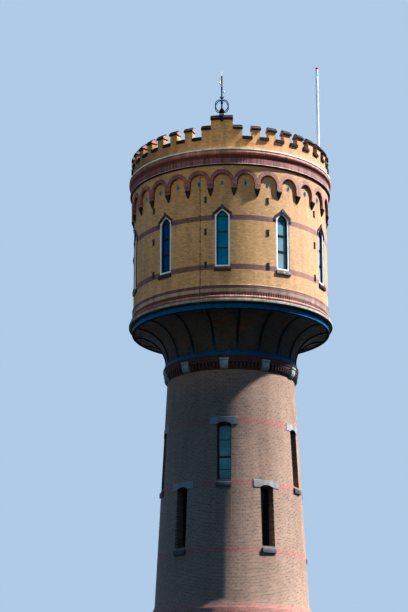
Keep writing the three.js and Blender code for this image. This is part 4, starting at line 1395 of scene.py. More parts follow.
def build_fittings():
    """Glazed vents in the arches, wall anchors and the lightning conductor with its clips."""
    vents = Solid()
    back, middle = DRUM_RADIUS - 0.02, 30.74
    for i in range(ARCHES):
        azimuth = i * ARCH_PITCH
        rim, eye = oval(0.128, 0.24, middle), oval(0.056, 0.15, middle)
        vents.border(rim, eye, back, DRUM_RADIUS + 0.022, azimuth)
        # The vent's eye is a near-black plate, painted as the shade of the room behind it.
        vents.prism(oval(0.08, 0.18, middle), back, DRUM_RADIUS + 0.004, azimuth, paint=1)
    piece("arcade_vents", vents, ["vent_glaze", "painted_room_shade"])

    anchors = Solid()
    face, reach = DRUM_RADIUS + 0.03, 0.145
    halves = ((-1.0, 0.068), (-0.7, 0.058), (-0.35, 0.042), (0.35, 0.042), (0.7, 0.058), (1.0, 0.068))
    for i in range(BAYS):
        azimuth = i * BAY - 9.6
        for up in (29.95, 28.4, 26.8):
            left = [(-half, up + share * reach) for share, half in halves]
            right = [(half, up + share * reach) for share, half in reversed(halves)]
            anchors.prism([*reversed(right), *reversed(left)], DRUM_RADIUS - 0.01, face, azimuth)
            anchors.stud(azimuth, face, up, 0.03, 0.028, 8)
    piece("wall_anchors", anchors, ["iron"])

    cable = Solid()
    azimuth = -12.7
    out = DRUM_RADIUS + 0.03
    stops = (
        (out, 31.05), (out, 25.88), (4.735, 25.79), (4.735, 25.46), (4.82, 25.38), (4.825, 25.26),
        (4.88, 25.14), (4.88, 24.97), (4.735, 24.9), (4.735, 24.72), (4.6, 24.66),
    )
    cable.tube([polar(azimuth, *stop) for stop in stops], 0.01, 6)
    for k in range(9):
        up = 26.1 + 0.62 * k
        cable.block((-0.028, 0.028), (back, out + 0.016), (up - 0.018, up + 0.018), azimuth, edge=0.006)
    piece("lightning_conductor", cable, ["conductor"])


# Cornice, parapet and roof


def build_cornice():
    """Near-black strip of painted shadow, soldier course, cove, salmon roll and lead, from the drum up to
    the parapet.
    """
    solid = Solid()
    soldier, cove, roll, lead, stone, shadow_strip = range(6)
    inner, field, nose = 4.4, 4.8, 4.846
    shadow_strip_foot, lead_foot, soldier_foot = 31.575, 31.612, 31.63
    cove_foot, roll_foot, roll_head = 31.905, 32.068, 32.295
    solid.ring(plain_course(inner, field, DRUM_TOP + GAP, shadow_strip_foot), paint=cove)
    # A near-black strip under the soldier course, painted as its shadow line.
    solid.ring([
        (inner, shadow_strip_foot + GAP), (nose - 0.006, shadow_strip_foot + GAP), (nose, shadow_strip_foot + 0.01),
        (nose, lead_foot), (inner, lead_foot),
    ], paint=shadow_strip)
    solid.ring([
        (inner, lead_foot + GAP), (4.862, lead_foot + GAP), (4.866, lead_foot + 0.006),
        (4.862, soldier_foot), (inner, soldier_foot),
    ], paint=lead)
    solid.ring(plain_course(inner, 4.825, soldier_foot + GAP, cove_foot), paint=stone)
    solid.ring([
        (inner, cove_foot + GAP), (field, cove_foot + GAP), (4.802, 31.94), (4.808, 31.98),
        (4.818, 32.02), (4.832, 32.05), (4.832, roll_foot), (inner, roll_foot),
    ], paint=cove)
    thick = 0.116
    half_round = arc((CORNICE_RADIUS - thick, roll_foot + thick), thick, -86, 72, 14)
    solid.ring([(inner, roll_foot + GAP), *half_round, (inner, roll_head)], paint=roll)
    solid.ring([
        (inner, roll_head + GAP), (CORNICE_RADIUS - 0.03, roll_head + GAP),
        (CORNICE_RADIUS - 0.002, 32.3),
        (CORNICE_RADIUS - 0.002, 32.362), (CORNICE_RADIUS - 0.014, 32.37),
        (PARAPET_OUTER + 0.01, CORNICE_TOP - 0.004), (PARAPET_OUTER + 0.004, CORNICE_TOP),
        (inner, CORNICE_TOP),
    ], paint=lead)
    pitch = 360 / SOLDIERS
    half = math.radians(pitch) / 2 * CORNICE_RADIUS - 0.006
    height = (soldier_foot + 0.007, cove_foot - 0.006)
    for i in range(SOLDIERS):
        azimuth = pitch * i + pitch / 2
        solid.block((-half, half), (field, nose), height, azimuth, CORNICE_RADIUS, soldier, 0.003)
    names = ("soldier_brick", "cove_brick", "roll_brick", "lead", "corbel_stone", "coping")
    piece("cornice_courses", solid, names, ["cornice"])


PARAPET_FINISHES = ("parapet_brick", "coping", "coping_slope", "coping_end")


def coping_sections(bottom, top, ridge=0.022):
    """A saddle coping: dark body with a drip edge, a slope painted paler as a highlight, dark ridge tiles
    and brick core.
    Gives the pairs of (profile, paint), and the core's profile."""
    middle = (COPING_INNER + COPING_OUTER) / 2
    edge = bottom + COPING_EDGE
    crest, level = middle + ridge + 0.03, top - 0.05
    body = [
        (COPING_INNER, bottom), (COPING_OUTER - 0.006, bottom), (COPING_OUTER, bottom + 0.006),
        (COPING_OUTER, edge - 0.006), (COPING_OUTER - 0.012, edge), (crest, level),
        (2 * middle - crest, level), (COPING_INNER + 0.012, edge), (COPING_INNER, edge - 0.006),
    ]
    out, up = (COPING_OUTER - 0.012 + crest) / 2, (edge + level) / 2
    # The slope, painted paler as the highlight on the glaze.
    slope = [
        (COPING_OUTER - 0.02, edge + 0.002), (out, up), (out, up + 0.012),
        (COPING_OUTER - 0.026, edge + 0.014),
    ]
    tile = [
        (out, up - 0.01), (out + 0.006, up + 0.028), (middle + ridge, top - 0.006),
        (middle + ridge * 0.6, top), (middle - ridge * 0.6, top), (middle - ridge, top - 0.006),
        (2 * middle - out - 0.006, up + 0.028),
        (2 * middle - out, up - 0.01), (2 * middle - crest, level - 0.01), (crest, level - 0.01),
    ]
    inside, outside = COPING_INNER + 0.02, COPING_OUTER - 0.02
    core = [
        (inside, bottom + 0.015), (outside, bottom + 0.015), (outside, edge - 0.008),
        (crest, level - 0.008), (2 * middle - crest, level - 0.008), (inside, edge - 0.008),
    ]
    return ((body, 1), (slope, 2), (tile, 1)), core


def lay_coping(solid, start, end, tiles, sections, core=None):
    """Tiles side by side on a wall, with narrow joints. A brick core shows at both ends."""
    if core:
        solid.ring(core, start - 0.05, end + 0.05, 3)
    width = (end - start) / tiles
    joint = math.degrees(0.003 / COPING_OUTER)
    for i in range(tiles):
        for profile, paint in sections:
            solid.ring(profile, start + i * width + joint, start + (i + 1) * width - joint, paint)


def build_parapet():
    """The parapet's wall and merlons from one side of the gable to the other, with their copings."""
    solid = Solid()
    foot = CORNICE_TOP + GAP
    wall = plain_course(PARAPET_INNER, PARAPET_OUTER, foot, CRENEL_TOP)
    solid.ring(wall, GABLE_HALF + 0.01, 360 - GABLE_HALF - 0.01)
    count = round(360 / MERLON_PITCH)
    edge = CRENEL_TOP + CRENEL_EDGE
    crenel = [
        (COPING_INNER + 0.03, CRENEL_TOP), (COPING_OUTER, CRENEL_TOP), (COPING_OUTER, edge - 0.008),
        (COPING_OUTER - 0.012, edge), (COPING_INNER + 0.05, CRENEL_COPING),
        (COPING_INNER + 0.03, CRENEL_COPING - 0.01),
    ]
    body = plain_course(PARAPET_INNER, PARAPET_OUTER, CRENEL_TOP, MERLON_TOP)
    top, core = coping_sections(MERLON_TOP, MERLON_COPING)
    reach = MERLON_HALF + MERLON_LIP
    for i in range(2, count - 1):
        azimuth = i * MERLON_PITCH
        solid.ring(body, azimuth - MERLON_HALF, azimuth + MERLON_HALF)
        lay_coping(solid, azimuth - reach, azimuth + reach, 2, top, core)
    for i in range(1, count - 1):
        start = GABLE_HALF if i == 1 else i * MERLON_PITCH + MERLON_HALF
        end = 360 - GABLE_HALF if i == count - 2 else (i + 1) * MERLON_PITCH - MERLON_HALF
        lay_coping(solid, start, end, 1, ((crenel, 1),))
    piece("parapet_merlons", solid, PARAPET_FINISHES, ["parapet"])


def build_gable():
    """Two shoulders and a raised middle, each with its coping."""
    solid = Solid()
    foot = CORNICE_TOP + GAP
    for half, bottom, top in (
        (GABLE_HALF, foot, SHOULDER_TOP), (GABLE_CENTRE_HALF, SHOULDER_TOP, GABLE_TOP),
    ):
        solid.ring(plain_course(PARAPET_INNER, PARAPET_OUTER, bottom, top), -half, half)
    shoulder = coping_sections(SHOULDER_TOP, SHOULDER_COPING)
    lay_coping(solid, -GABLE_HALF - 0.1, -GABLE_CENTRE_HALF, 2, *shoulder)
    lay_coping(solid, GABLE_CENTRE_HALF, GABLE_HALF + 0.1, 2, *shoulder)
    lay_coping(solid, -GABLE_CENTRE_HALF - 0.15, GABLE_CENTRE_HALF + 0.15, 4,
               *coping_sections(GABLE_TOP, GABLE_COPING, 0.065))
    piece("gable_brickwork", solid, PARAPET_FINISHES, ["front_gable"])


def build_roof():
    """Low zinc cone with standing seams and a flat gutter inside the parapet."""
    solid = Solid()
    rim, edge = PARAPET_INNER - GAP, PARAPET_INNER - 0.22
    foot, rise = CORNICE_TOP + GAP, high("roof").z
    top, cap = foot + 0.08, 0.16
    solid.ring([
        (0.12, foot + 0.38), (edge, foot), (rim, foot), (rim, top), (edge, top), (0.12, rise - 0.012),
    ])
    solid.spindle([
        (0.0, foot + 0.37), (cap, foot + 0.37), (cap, rise - 0.004), (0.05, rise), (0.0, rise),
    ], (0.0, 0.0), 24)
    seams = 30
    for i in range(seams):
        loops = []
        for out, up in ((edge - 0.02, top), (cap, rise - 0.012)):
            low_edge, high_edge = up - 0.01, up + 0.03 * min(out, 1.0)
            section = ((-0.011, low_edge), (0.011, low_edge), (0.008, high_edge), (-0.008, high_edge))
            loops.append([flat(x, out, z, i * 360 / seams) for x, z in section])
        solid.loft(loops)
    piece("roof_sheets", solid, ["zinc"], ["roof"])


def build_flagpole():
    """Tapered mast with a red cap, two brackets to the parapet and a line."""
    solid = Solid()
    tip = POLE_TIP - 0.1
    solid.spindle([
        (0.0, POLE_FOOT), (0.072, POLE_FOOT), (0.0687, POLE_FOOT + 1.2), (0.056, tip), (0.0, tip),
    ], POLE, 20)
    solid.spindle([
        (0.0, tip + 0.0002), (0.06, tip + 0.0002), (0.069, tip + 0.015), (0.07, tip + 0.055),
        (0.05, tip + 0.085), (0.0, tip + 0.0998),
    ], POLE, 20, paint=1)
    for bottom in (32.56, 32.78):
        top = bottom + 0.07
        solid.block((-0.045, 0.045), (POLE_X, PARAPET_INNER - GAP), (bottom, top), 90.0, paint=2)
        for side in (-0.03, 0.03):
            solid.stud(90.0, PARAPET_INNER - 0.09, bottom + 0.035, 0.012, 0.01, 6, 2, side)
        solid.spindle([
            (0.0, bottom - 0.005), (0.08, bottom - 0.005), (0.08, top + 0.005), (0.0, top + 0.005),
        ], POLE, 20, paint=2)
    spans = 12
    line = []
    for k in range(spans + 1):
        slack = 0.012 * math.sin(math.pi * k / spans)
        line.append((POLE_X - 0.069 + 0.001 * k - slack, 0.02, 33.6 + (tip - 33.62) * k / spans))
    solid.tube(line, 0.004, 5, paint=3)
    names = ("mast_paint", "red_cap", "iron", "lead")
    piece("flagpole_mast", solid, names, ["flagpole"])


# Weathervane


def build_vane_stand():
    """Stone block, dome, rod with a gilded tip, knot, crown of leaves, six hoops and a strap."""
    solid = Solid()
    bottom = GABLE_COPING + GAP
    block, half_block = bottom + 0.07, 0.125
    limits = (-STAND_Y - half_block, -STAND_Y + half_block)
    solid.block((-half_block, half_block), limits, (bottom, block), 0.0, paint=1, edge=0.01)
    dome = (
        (0.112, -0.001), (0.121, 0.02), (0.122, 0.08), (0.116, 0.14), (0.1, 0.2), (0.074, 0.25),
        (0.044, 0.29), (0.022, 0.31),
    )
    solid.spindle([
        (0.0, block - 0.001), *[(radius, block + up) for radius, up in dome], (0.0, block + 0.31),
    ], STAND, 24, paint=3)
    tip = STAND_TIP
    low_rod, high_rod = VANE_LOW - 0.09, VANE_LOW + 0.14
    solid.spindle([
        (0.0, block), (0.032, block), (0.032, low_rod), (ROD, low_rod + 0.01), (ROD, high_rod),
        (0.03, high_rod + 0.01), (0.028, tip - 0.24), (0.0, tip - 0.24),
    ], STAND, 14)
    solid.spindle([
        (0.0, tip - 0.2398), (0.02, tip - 0.2398), (0.02, tip - 0.22), (0.013, tip - 0.18),
        (0.01, tip - 0.08), (0.0, tip),
    ], STAND, 14, paint=2)
    steps = 10
    for height, radius, tall in ((34.74, 0.062, 0.09), (34.91, 0.034, 0.03)):
        turns = [math.pi * k / steps for k in range(1, steps)]
        knot = [(radius * math.sin(turn), height - tall * math.cos(turn)) for turn in turns]
        solid.spindle([(0.0, height - tall), *knot, (0.0, height + tall)], STAND, 16)
    collar = VANE_LOW - GAP
    solid.spindle([
        (0.0, collar - 0.1), (0.027, collar - 0.1), (0.036, collar - 0.08), (0.036, collar),
        (0.0, collar),
    ], STAND, 14)

    def spoke(axis, out, up):
        return (out * math.cos(axis), STAND_Y + out * math.sin(axis), up)

    middle, half_tall, steps = 34.56, 0.302, 28
    for i in range(SCROLLS):
        axis = math.radians(SCROLL_START - 90 + i * 360 / SCROLLS)
        hoop = []
        for k in range(steps + 1):
            angle = math.radians(-90 + 180 * k / steps)
            out = 0.012 + (SCROLL_REACH - 0.026) * max(math.cos(angle), 0.0) ** 0.8
            hoop.append(spoke(axis, out, middle + half_tall * math.sin(angle)))
        solid.tube(hoop, 0.019, 8)
    for i in range(8):
        axis = math.radians(SCROLL_START + i * 45)
        shares = [k / 8 for k in range(9)]
        rise = [34.905 + 0.13 * t - 0.01 * t ** 3 for t in shares]
        leaf = [spoke(axis, 0.014 + 0.094 * t ** 1.3, up) for t, up in zip(shares, rise)]
        solid.tube(leaf, [0.016 - 0.004 * t for t in shares], 6)
    half, face = 0.05, COPING_OUTER + 2 * GAP
    arm_end, strap_foot, strap_head = face + 0.03, 33.746, 33.985
    loops = []
    arm_start, thick = -STAND_Y + half_block - 0.02, 0.016
    for out, under in ((arm_start, bottom + 0.001), (arm_end, strap_head - thick)):
        corners = ((-half, under), (half, under), (half, under + thick), (-half, under + thick))
        loops.append([flat(x, out, up, 0.0) for x, up in corners])
    solid.loft(loops)
    solid.block((-half, half), (face, arm_end), (strap_foot, strap_head), 0.0, edge=0.005)
    for height in (33.8, 33.95):
        solid.stud(0.0, arm_end, height, 0.016, 0.012, 6)
    names = ("stand_iron", "stand_stone", "gilt", "dome_iron_and_underside_shade")
    piece("vane_stand_scrolls", solid, names, ["vane_stand"])


def turned_vane(x, y, z):
    """A point of the vane, drawn along -Y, turned to the wind."""
    cosine, sine = math.cos(VANE_TURN), math.sin(VANE_TURN)
    return (x * cosine - y * sine, STAND_Y + x * sine + y * cosine, z)


def build_vane():
    """Hub on the rod, a bar with a ball at its head and a leaf with veins at its tail."""
    solid = Solid()
    hub_low, hub_high = VANE_LOW, VANE_LOW + 0.11
    middle = (hub_low + hub_high) / 2
    hub = (
        (0.0275, hub_low), (0.04, hub_low), (0.042, hub_low + 0.012), (0.035, hub_low + 0.03),
        (0.035, hub_high - 0.03), (0.042, hub_high - 0.012), (0.04, hub_high), (0.0275, hub_high),
    )
    sides = 20
    turns = [2 * math.pi * i / sides for i in range(sides)]
    loops = [[turned_vane(r * math.sin(a), -r * math.cos(a), z) for r, z in hub] for a in turns]
    solid.loft(loops, paint=1, closed=True)
    bar = ((0.033, 0.4, 0.57), (0.012, 0.011, 0.009))
    tail = ((-0.033, -0.3, -0.5), (0.012, 0.026, 0.02))
    for places, radii in (bar, tail):
        solid.tube([turned_vane(0, y, middle) for y in places], radii, 10)
    rows, ball = 10, 0.048
    turns = [2 * math.pi * j / 16 for j in range(16)]
    for i in range(rows):
        loops = []
        for angle in (max(math.pi * i / rows, 0.02), min(math.pi * (i + 1) / rows, math.pi - 0.02)):
            wide, y = ball * math.sin(angle), 0.6 + ball * math.cos(angle)
            circle = [(wide * math.cos(t), middle + wide * math.sin(t)) for t in turns]
            loops.append([turned_vane(x, y, z) for x, z in circle])
        solid.loft(loops)

    start, long, half, steps = -0.44, 0.3, 0.125, 16
    upper, notch = [], []
    for i in range(steps + 1):
        t = i / steps
        upper.append((2 * t * (1 - t) * 0.105 + t * t * long, 2 * t * (1 - t) * half + t * t * half))
    for i in range(1, steps):
        t = i / steps
        notch.append(((1 - t) ** 2 * long + 2 * t * (1 - t) * 0.234 + t * t * long, half * (1 - 2 * t)))
    outline = upper + notch + [(y, -z) for y, z in reversed(upper[1:])]
    face, bevelled = 0.0215, 0.9
    loops = []
    for side, keep in ((0.013, 1.0), (face, bevelled), (-face, bevelled), (-0.013, 1.0)):
        loops.append([
            turned_vane(side, start - (0.15 + (y - 0.15) * keep), middle + z * keep) for y, z in outline
        ])
    solid.loft(loops)
    for share in (-0.66, -0.33, 0.0, 0.33, 0.66):
        for side in (face, -face):
            solid.tube([
                turned_vane(side, start - 0.04 - 0.22 * t, middle + share * half * t ** 0.9 * 0.93)
                for t in (0.05, 0.35, 0.7, 1.0)
            ], 0.0035, 5)
    piece("wind_vane", solid, ["gilt", "stand_iron"], ["vane"], body="vane")


# Studio


def emitter_shader(name, colour):
    """A pale backdrop that gives its own light."""
    material = bpy.data.materials.new(name)
    material.use_nodes = True
    tree = material.node_tree
    tree.nodes.clear()
    glow = tree.nodes.new("ShaderNodeEmission")
    glow.inputs["Color"].default_value = rgba(colour)
    output = tree.nodes.new("ShaderNodeOutputMaterial")
    tree.links.new(glow.outputs[0], output.inputs["Surface"])
    return material


def build_room(view):
    """Round floor and a dome behind everything, neither of which tints the tower."""
    room = view.room
    floor = Solid()
    floor.spindle([(0.0, -0.4), (room, -0.4), (room, 0.0), (0.0, 0.0)], (0.0, 0.0), 96)
    shader = Shader("studio_floor", 0.9)
    clouds = shader.noise(0.05, 3.0, 0.5)
    shader.colour(shader.shade(clouds, 0.3, 0.7, scaled(view.floor, 0.94), view.floor))
    mesh = mesh_of("studio_floor", floor, [shader.material])
    ground = linked(bpy.data.objects.new("studio_floor", mesh))
    ground.visible_diffuse = False

    dome = Solid()
    low_edge, steps = -0.2, 24
    angles = [math.pi * k / 2 / steps for k in range(steps)]
    rise = [(room * math.cos(a), room * math.sin(a) + low_edge) for a in angles]
    dome.spindle([(0.0, low_edge), *rise, (0.0, room)], (0.0, 0.0), 96)
    mesh = mesh_of("studio_backdrop", dome, [emitter_shader("studio_backdrop", view.backdrop)])
    backdrop = linked(bpy.data.objects.new("studio_backdrop", mesh))
    backdrop.visible_diffuse = False
    backdrop.visible_shadow = False
    backdrop.visible_transmission = False


def build_room_light(view):
    """Soft light all round, bluish from above and dark from below."""
    world = bpy.data.worlds.new("soft_room_light")
    world.use_nodes = True
    tree = world.node_tree
    sky = tree.nodes["Background"]
    height = tree.nodes.new("ShaderNodeSeparateXYZ")
    ramp = tree.nodes.new("ShaderNodeValToRGB")
    below, above = ramp.color_ramp.elements
    below.position, below.color = 0.46, rgba(view.bounce)
    above.position, above.color = 0.54, rgba(view.fill)
    level = tree.nodes.new("ShaderNodeMath")
    level.operation = "MULTIPLY_ADD"
    level.inputs[1].default_value = 0.5
    level.inputs[2].default_value = 0.5
    place = tree.nodes.new("ShaderNodeTexCoord")
    tree.links.new(place.outputs["Generated"], height.inputs[0])
    tree.links.new(height.outputs[2], level.inputs[0])
    tree.links.new(level.outputs[0], ramp.inputs[0])
    tree.links.new(ramp.outputs[0], sky.inputs["Color"])
    sky.inputs["Strength"].default_value = view.fill_strength
    bpy.context.scene.world = world


def build_lamps(view):
    """The key light from the right, and a soft light on the drum from the front."""
    key = bpy.data.lights.new("key_light", "SUN")
    key.energy = view.key_strength
    key.color = view.key
    key.angle = view.key_softness
    lamp = linked(bpy.data.objects.new("key_light", key))
    height = view.key_height
    towards = Vector(polar(math.degrees(view.key_azimuth), math.cos(height), math.sin(height)))
    lamp.rotation_euler = towards.to_track_quat("Z", "Y").to_euler()

    soft = bpy.data.lights.new("drum_light", "SPOT")
    soft.energy = view.drum_strength
    soft.color = view.drum_light
    soft.shadow_soft_size = 2.0
    soft.spot_size = view.drum_spread
    soft.spot_blend = 0.2
    lamp = linked(bpy.data.objects.new("drum_light", soft))
    lamp.location = polar(math.degrees(view.drum_azimuth), view.drum_distance, view.drum_height)
    away = Vector((lamp.location.x, lamp.location.y, 0.0))
    lamp.rotation_euler = away.to_track_quat("Z", "Y").to_euler()


def build_camera(view):
    """The camera where the photo was taken, low on the ground and looking up."""
    lens = bpy.data.cameras.new("photo_camera")
    lens.sensor_fit = "VERTICAL"
    lens.sensor_height = 36.0
    lens.sensor_width = 36.0
    lens.lens = view.lens
    lens.clip_end = 3 * view.room
    eye = linked(bpy.data.objects.new("photo_camera", lens))
    eye.location = polar(math.degrees(view.azimuth), view.distance, view.eye_height)
    eye.rotation_euler = (math.pi / 2 + view.pitch, 0.0, view.azimuth + view.turn)
    bpy.context.scene.camera = eye


def build_stage(view):
    """All that stands round the tower, and how bright and dark tones are shown."""
    bpy.context.scene.view_settings.view_transform = "Standard"
    bpy.context.scene.view_settings.look = "High Contrast"
    for build in (build_camera, build_room, build_room_light, build_lamps):
        build(view)


# Settings


def colour_setting(name, description, red, green, blue):
    colour = srgb(red, green, blue)
    return bpy.props.FloatVectorProperty(
        name=name, description=description, default=colour, min=0.0, max=1.0, subtype="COLOR",
    )


def length_setting(name, description, metres, least=0.0):
    return bpy.props.FloatProperty(
        name=name, description=description, default=metres, min=least, subtype="DISTANCE", unit="LENGTH",
    )


def angle_setting(name, description, degrees):
    angle = math.radians(degrees)
    return bpy.props.FloatProperty(
        name=name, description=description, default=angle, subtype="ANGLE", unit="ROTATION",
    )


def amount_setting(name, description, amount, least=0.0):
    return bpy.props.FloatProperty(name=name, description=description, default=amount, min=least)


class TowerColours(bpy.types.PropertyGroup):
    drum: colour_setting("Drum brick", "Yellow brick of the drum", 222, 183, 130)
    parapet: colour_setting("Parapet brick", "Yellow brick of the parapet and gable", 255, 202, 136)
    parapet_mortar: colour_setting("Parapet mortar", "Joints of the parapet", 206, 176, 134)
    drum_mortar: colour_setting("Drum mortar", "Joints of the yellow brick", 150, 134, 108)
    purple: colour_setting("Purple brick", "Belts round the drum", 138, 100, 106)
    arch: colour_setting("Arch brick", "Rings of the small arches", 174, 122, 116)
    hood: colour_setting("Hood brick", "Gabled heads of the drum windows", 84, 56, 52)
    fascia: colour_setting("Fascia brick", "Soldier course of the cornice", 192, 134, 136)
    fascia_mortar: colour_setting("Fascia mortar", "Joints of the soldier course", 136, 102, 102)
    cove: colour_setting("Cove brick", "Moulded course under the roll", 118, 76, 68)
    salmon: colour_setting("Salmon brick", "Half-round rolls", 216, 156, 140)
    dark_mortar: colour_setting("Dark mortar", "Joints of the purple brick", 92, 78, 72)
    shaft: colour_setting("Shaft brick", "Pinkish-tan brick of the shaft", 147, 116, 93)
    shaft_mortar: colour_setting("Shaft mortar", "Pale joints of the shaft", 200, 188, 172)
    band: colour_setting("Band brick", "Red bands on the shaft", 164, 100, 84)
    neck: colour_setting("Neck brick", "Dark red corbel courses", 84, 62, 60)
    neck_mortar: colour_setting("Neck mortar", "Joints of the corbel courses", 70, 54, 48)
    bowl: colour_setting("Bowl brick", "Near-black brick of the bowl", 72, 74, 74)
    bowl_mortar: colour_setting("Bowl mortar", "Joints of the bowl", 46, 42, 40)
    stone: colour_setting("Ring stone", "Greenish-grey stone ring", 176, 182, 168)
    lintel: colour_setting("Lintel stone", "Light grey lintels and plinth", 176, 176, 172)
    bluestone: colour_setting("Sill stone", "Bluish sills of the shaft windows", 80, 90, 94)
    sill: colour_setting("Drum sill stone", "Near-black sills of the drum", 24, 28, 32)
    corbel: colour_setting("Corbel stone", "Near-black corbels of the arcade", 58, 46, 52)
    block: colour_setting("Block stone", "Greenish-grey blocks of the neck", 188, 202, 200)
    key_stone: colour_setting("Key stone", "Keystones and springers of the drum windows", 84, 104, 124)
    cement: colour_setting("Cement", "Pale fillet over the drum's foot", 206, 190, 166)
    steel: colour_setting("Blue steel", "Paint of the cradle", 4, 108, 152)
    # Black painted onto the ribs as the shade under the bowl.
    rib: colour_setting("Rib black", "Sooted paint of the ribs", 6, 10, 14)
    white: colour_setting("White paint", "Frames of the drum windows", 226, 246, 255)
    frame: colour_setting("Dark paint", "Shaft windows and inner sashes", 36, 44, 52)
    iron: colour_setting("Iron", "Anchors and fittings", 26, 32, 42)
    stand: colour_setting("Stand paint", "Blue-black paint of the weathervane's stand", 0, 60, 100)
    # The same near-black also paints shadow strips in the cornice and under the stone ring.
    coping: colour_setting("Coping", "Near-black tiles of the parapet", 30, 26, 30)
    # A pinkish tone painted on the tiles' slopes as a highlight.
    coping_slope: colour_setting("Coping slope", "Pinkish weathered slopes of the tiles", 124, 96, 96)
    glass: colour_setting("Drum glass", "Deep blue glass of the drum", 0, 80, 126)
    dark_glass: colour_setting("Shaft glass", "Dark glass of the shaft", 18, 30, 36)


class TowerView(bpy.types.PropertyGroup):
    distance: length_setting("Distance", "From the camera to the tower's axis, along the ground", 81.8, 1.0)
    eye_height: length_setting("Eye height", "Height of the camera above the ground", 1.6)
    azimuth: angle_setting("Azimuth", "Where the camera stands, from the front towards +X", 4.5)
    pitch: angle_setting("Pitch", "How far the camera looks up", 16.74)
    turn: angle_setting("Turn", "How far the camera looks past the axis, to the left", 0.89)
    lens: amount_setting("Lens", "Focal length in millimetres on a sensor 36 mm tall", 104.95, 1.0)
    room: length_setting("Room", "Radius of the floor and backdrop", 420.0, 60.0)
    key_azimuth: angle_setting("Key azimuth", "Where the key light comes from", 93.5)
    key_height: angle_setting("Key height", "Height of the key light above level", 48.5)
    key_softness: angle_setting("Key softness", "Angular size of the key light", 2.5)
    key_strength: amount_setting("Key strength", "Power of the key light", 7.3)
    key: colour_setting("Key colour", "Colour of the key light", 251, 247, 248)
    fill: colour_setting("Fill colour", "Colour of the soft light from above", 129, 176, 230)
    bounce: colour_setting("Bounce colour", "Colour of the soft light from below", 50, 66, 72)
    fill_strength: amount_setting("Fill strength", "Power of the soft light", 0.5)
    drum_azimuth: angle_setting("Drum light azimuth", "Where the drum's soft light comes from", -14.0)
    drum_distance: length_setting("Drum light distance", "From the drum's light to the axis", 70.0)
    drum_height: length_setting("Drum light height", "Height of the drum's light", 29.4)
    drum_spread: angle_setting("Drum light spread", "Angle of the drum light's cone", 12.5)
    drum_strength: amount_setting("Drum light strength", "Power of the soft light on the drum", 33000.0)
    drum_light: colour_setting(
        "Drum light colour", "Colour of the soft light on the drum", 255, 226, 158,
    )
    backdrop: colour_setting("Backdrop", "Pale colour behind the tower", 160, 180, 200)
    floor: colour_setting("Floor", "Pale colour of the studio floor", 142, 142, 139)


# Operators


class TOWER_OT_stage(bpy.types.Operator):
    """Camera, floor, backdrop and soft light"""

    bl_idname = "tower.stage"
    bl_label = "Stage"

    def execute(self, context):
        build_stage(context.scene.tower_view)
        return {"FINISHED"}


class TOWER_OT_shaft(bpy.types.Operator):
    """Battered brick shaft and base with their openings"""

    bl_idname = "tower.shaft"
    bl_label = "Shaft"

    def execute(self, context):
        build_shaft()
        return {"FINISHED"}


class TOWER_OT_dressings(bpy.types.Operator):
    """Stone lintels and sills of the shaft's windows"""

    bl_idname = "tower.dressings"
    bl_label = "Lintels and sills"

    def execute(self, context):
        build_dressings()
        return {"FINISHED"}


class TOWER_OT_shaft_windows(bpy.types.Operator):
    """Frames, transoms and glass in three rows"""

    bl_idname = "tower.shaft_windows"
    bl_label = "Shaft windows"

    def execute(self, context):
        build_shaft_windows()
        return {"FINISHED"}


class TOWER_OT_foot(bpy.types.Operator):
    """Two courses of dressed stones at the ground"""

    bl_idname = "tower.foot"
    bl_label = "Plinth"

    def execute(self, context):
        build_foot()
        return {"FINISHED"}


class TOWER_OT_door(bpy.types.Operator):
    """Boarded leaves, their frame and the brick arch over them"""

    bl_idname = "tower.door"
    bl_label = "Door"

    def execute(self, context):
        build_door()
        return {"FINISHED"}


class TOWER_OT_inside(bpy.types.Operator):
    """Finishes of the floors, the ground slab and the door step"""

    bl_idname = "tower.inside"
    bl_label = "Floors"

    def execute(self, context):
        build_inside()
        return {"FINISHED"}


class TOWER_OT_neck(bpy.types.Operator):
    """Oversailing courses, dentils and stone blocks under the bowl"""

    bl_idname = "tower.neck"
    bl_label = "Neck"

    def execute(self, context):
        build_neck()
        return {"FINISHED"}


class TOWER_OT_bowl(bpy.types.Operator):
    """Dark quarter-round flare"""

    bl_idname = "tower.bowl"
    bl_label = "Bowl"

    def execute(self, context):
        build_bowl()
        return {"FINISHED"}


class TOWER_OT_cradle(bpy.types.Operator):
    """Neck ring, ribs, ring girder and their rivets"""

    bl_idname = "tower.cradle"
    bl_label = "Steel cradle"

    def execute(self, context):
        build_cradle()
        return {"FINISHED"}


class TOWER_OT_drum_foot(bpy.types.Operator):
    """Stone ring, salmon roll and the courses over it"""

    bl_idname = "tower.drum_foot"
    bl_label = "Drum foot"

    def execute(self, context):
        build_drum_foot()
        return {"FINISHED"}


class TOWER_OT_drum(bpy.types.Operator):
    """Yellow brick wall with its ten window openings"""

    bl_idname = "tower.drum"
    bl_label = "Drum wall"

    def execute(self, context):
        build_drum()
        return {"FINISHED"}


class TOWER_OT_drum_windows(bpy.types.Operator):
    """White frames, glazing bars and glass"""

    bl_idname = "tower.drum_windows"
    bl_label = "Drum windows"

    def execute(self, context):
        build_drum_windows()
        return {"FINISHED"}


class TOWER_OT_drum_dressings(bpy.types.Operator):
    """Sills and gabled brick heads of the drum's windows"""

    bl_idname = "tower.drum_dressings"
    bl_label = "Drum dressings"

    def execute(self, context):
        build_drum_dressings()
        return {"FINISHED"}


class TOWER_OT_arcade(bpy.types.Operator):
    """Small arches on tapered corbels"""

    bl_idname = "tower.arcade"
    bl_label = "Arcade"

    def execute(self, context):
        build_arcade()
        return {"FINISHED"}


class TOWER_OT_fittings(bpy.types.Operator):
    """Vents, wall anchors and the lightning conductor"""

    bl_idname = "tower.fittings"
    bl_label = "Fittings"

    def execute(self, context):
        build_fittings()
        return {"FINISHED"}


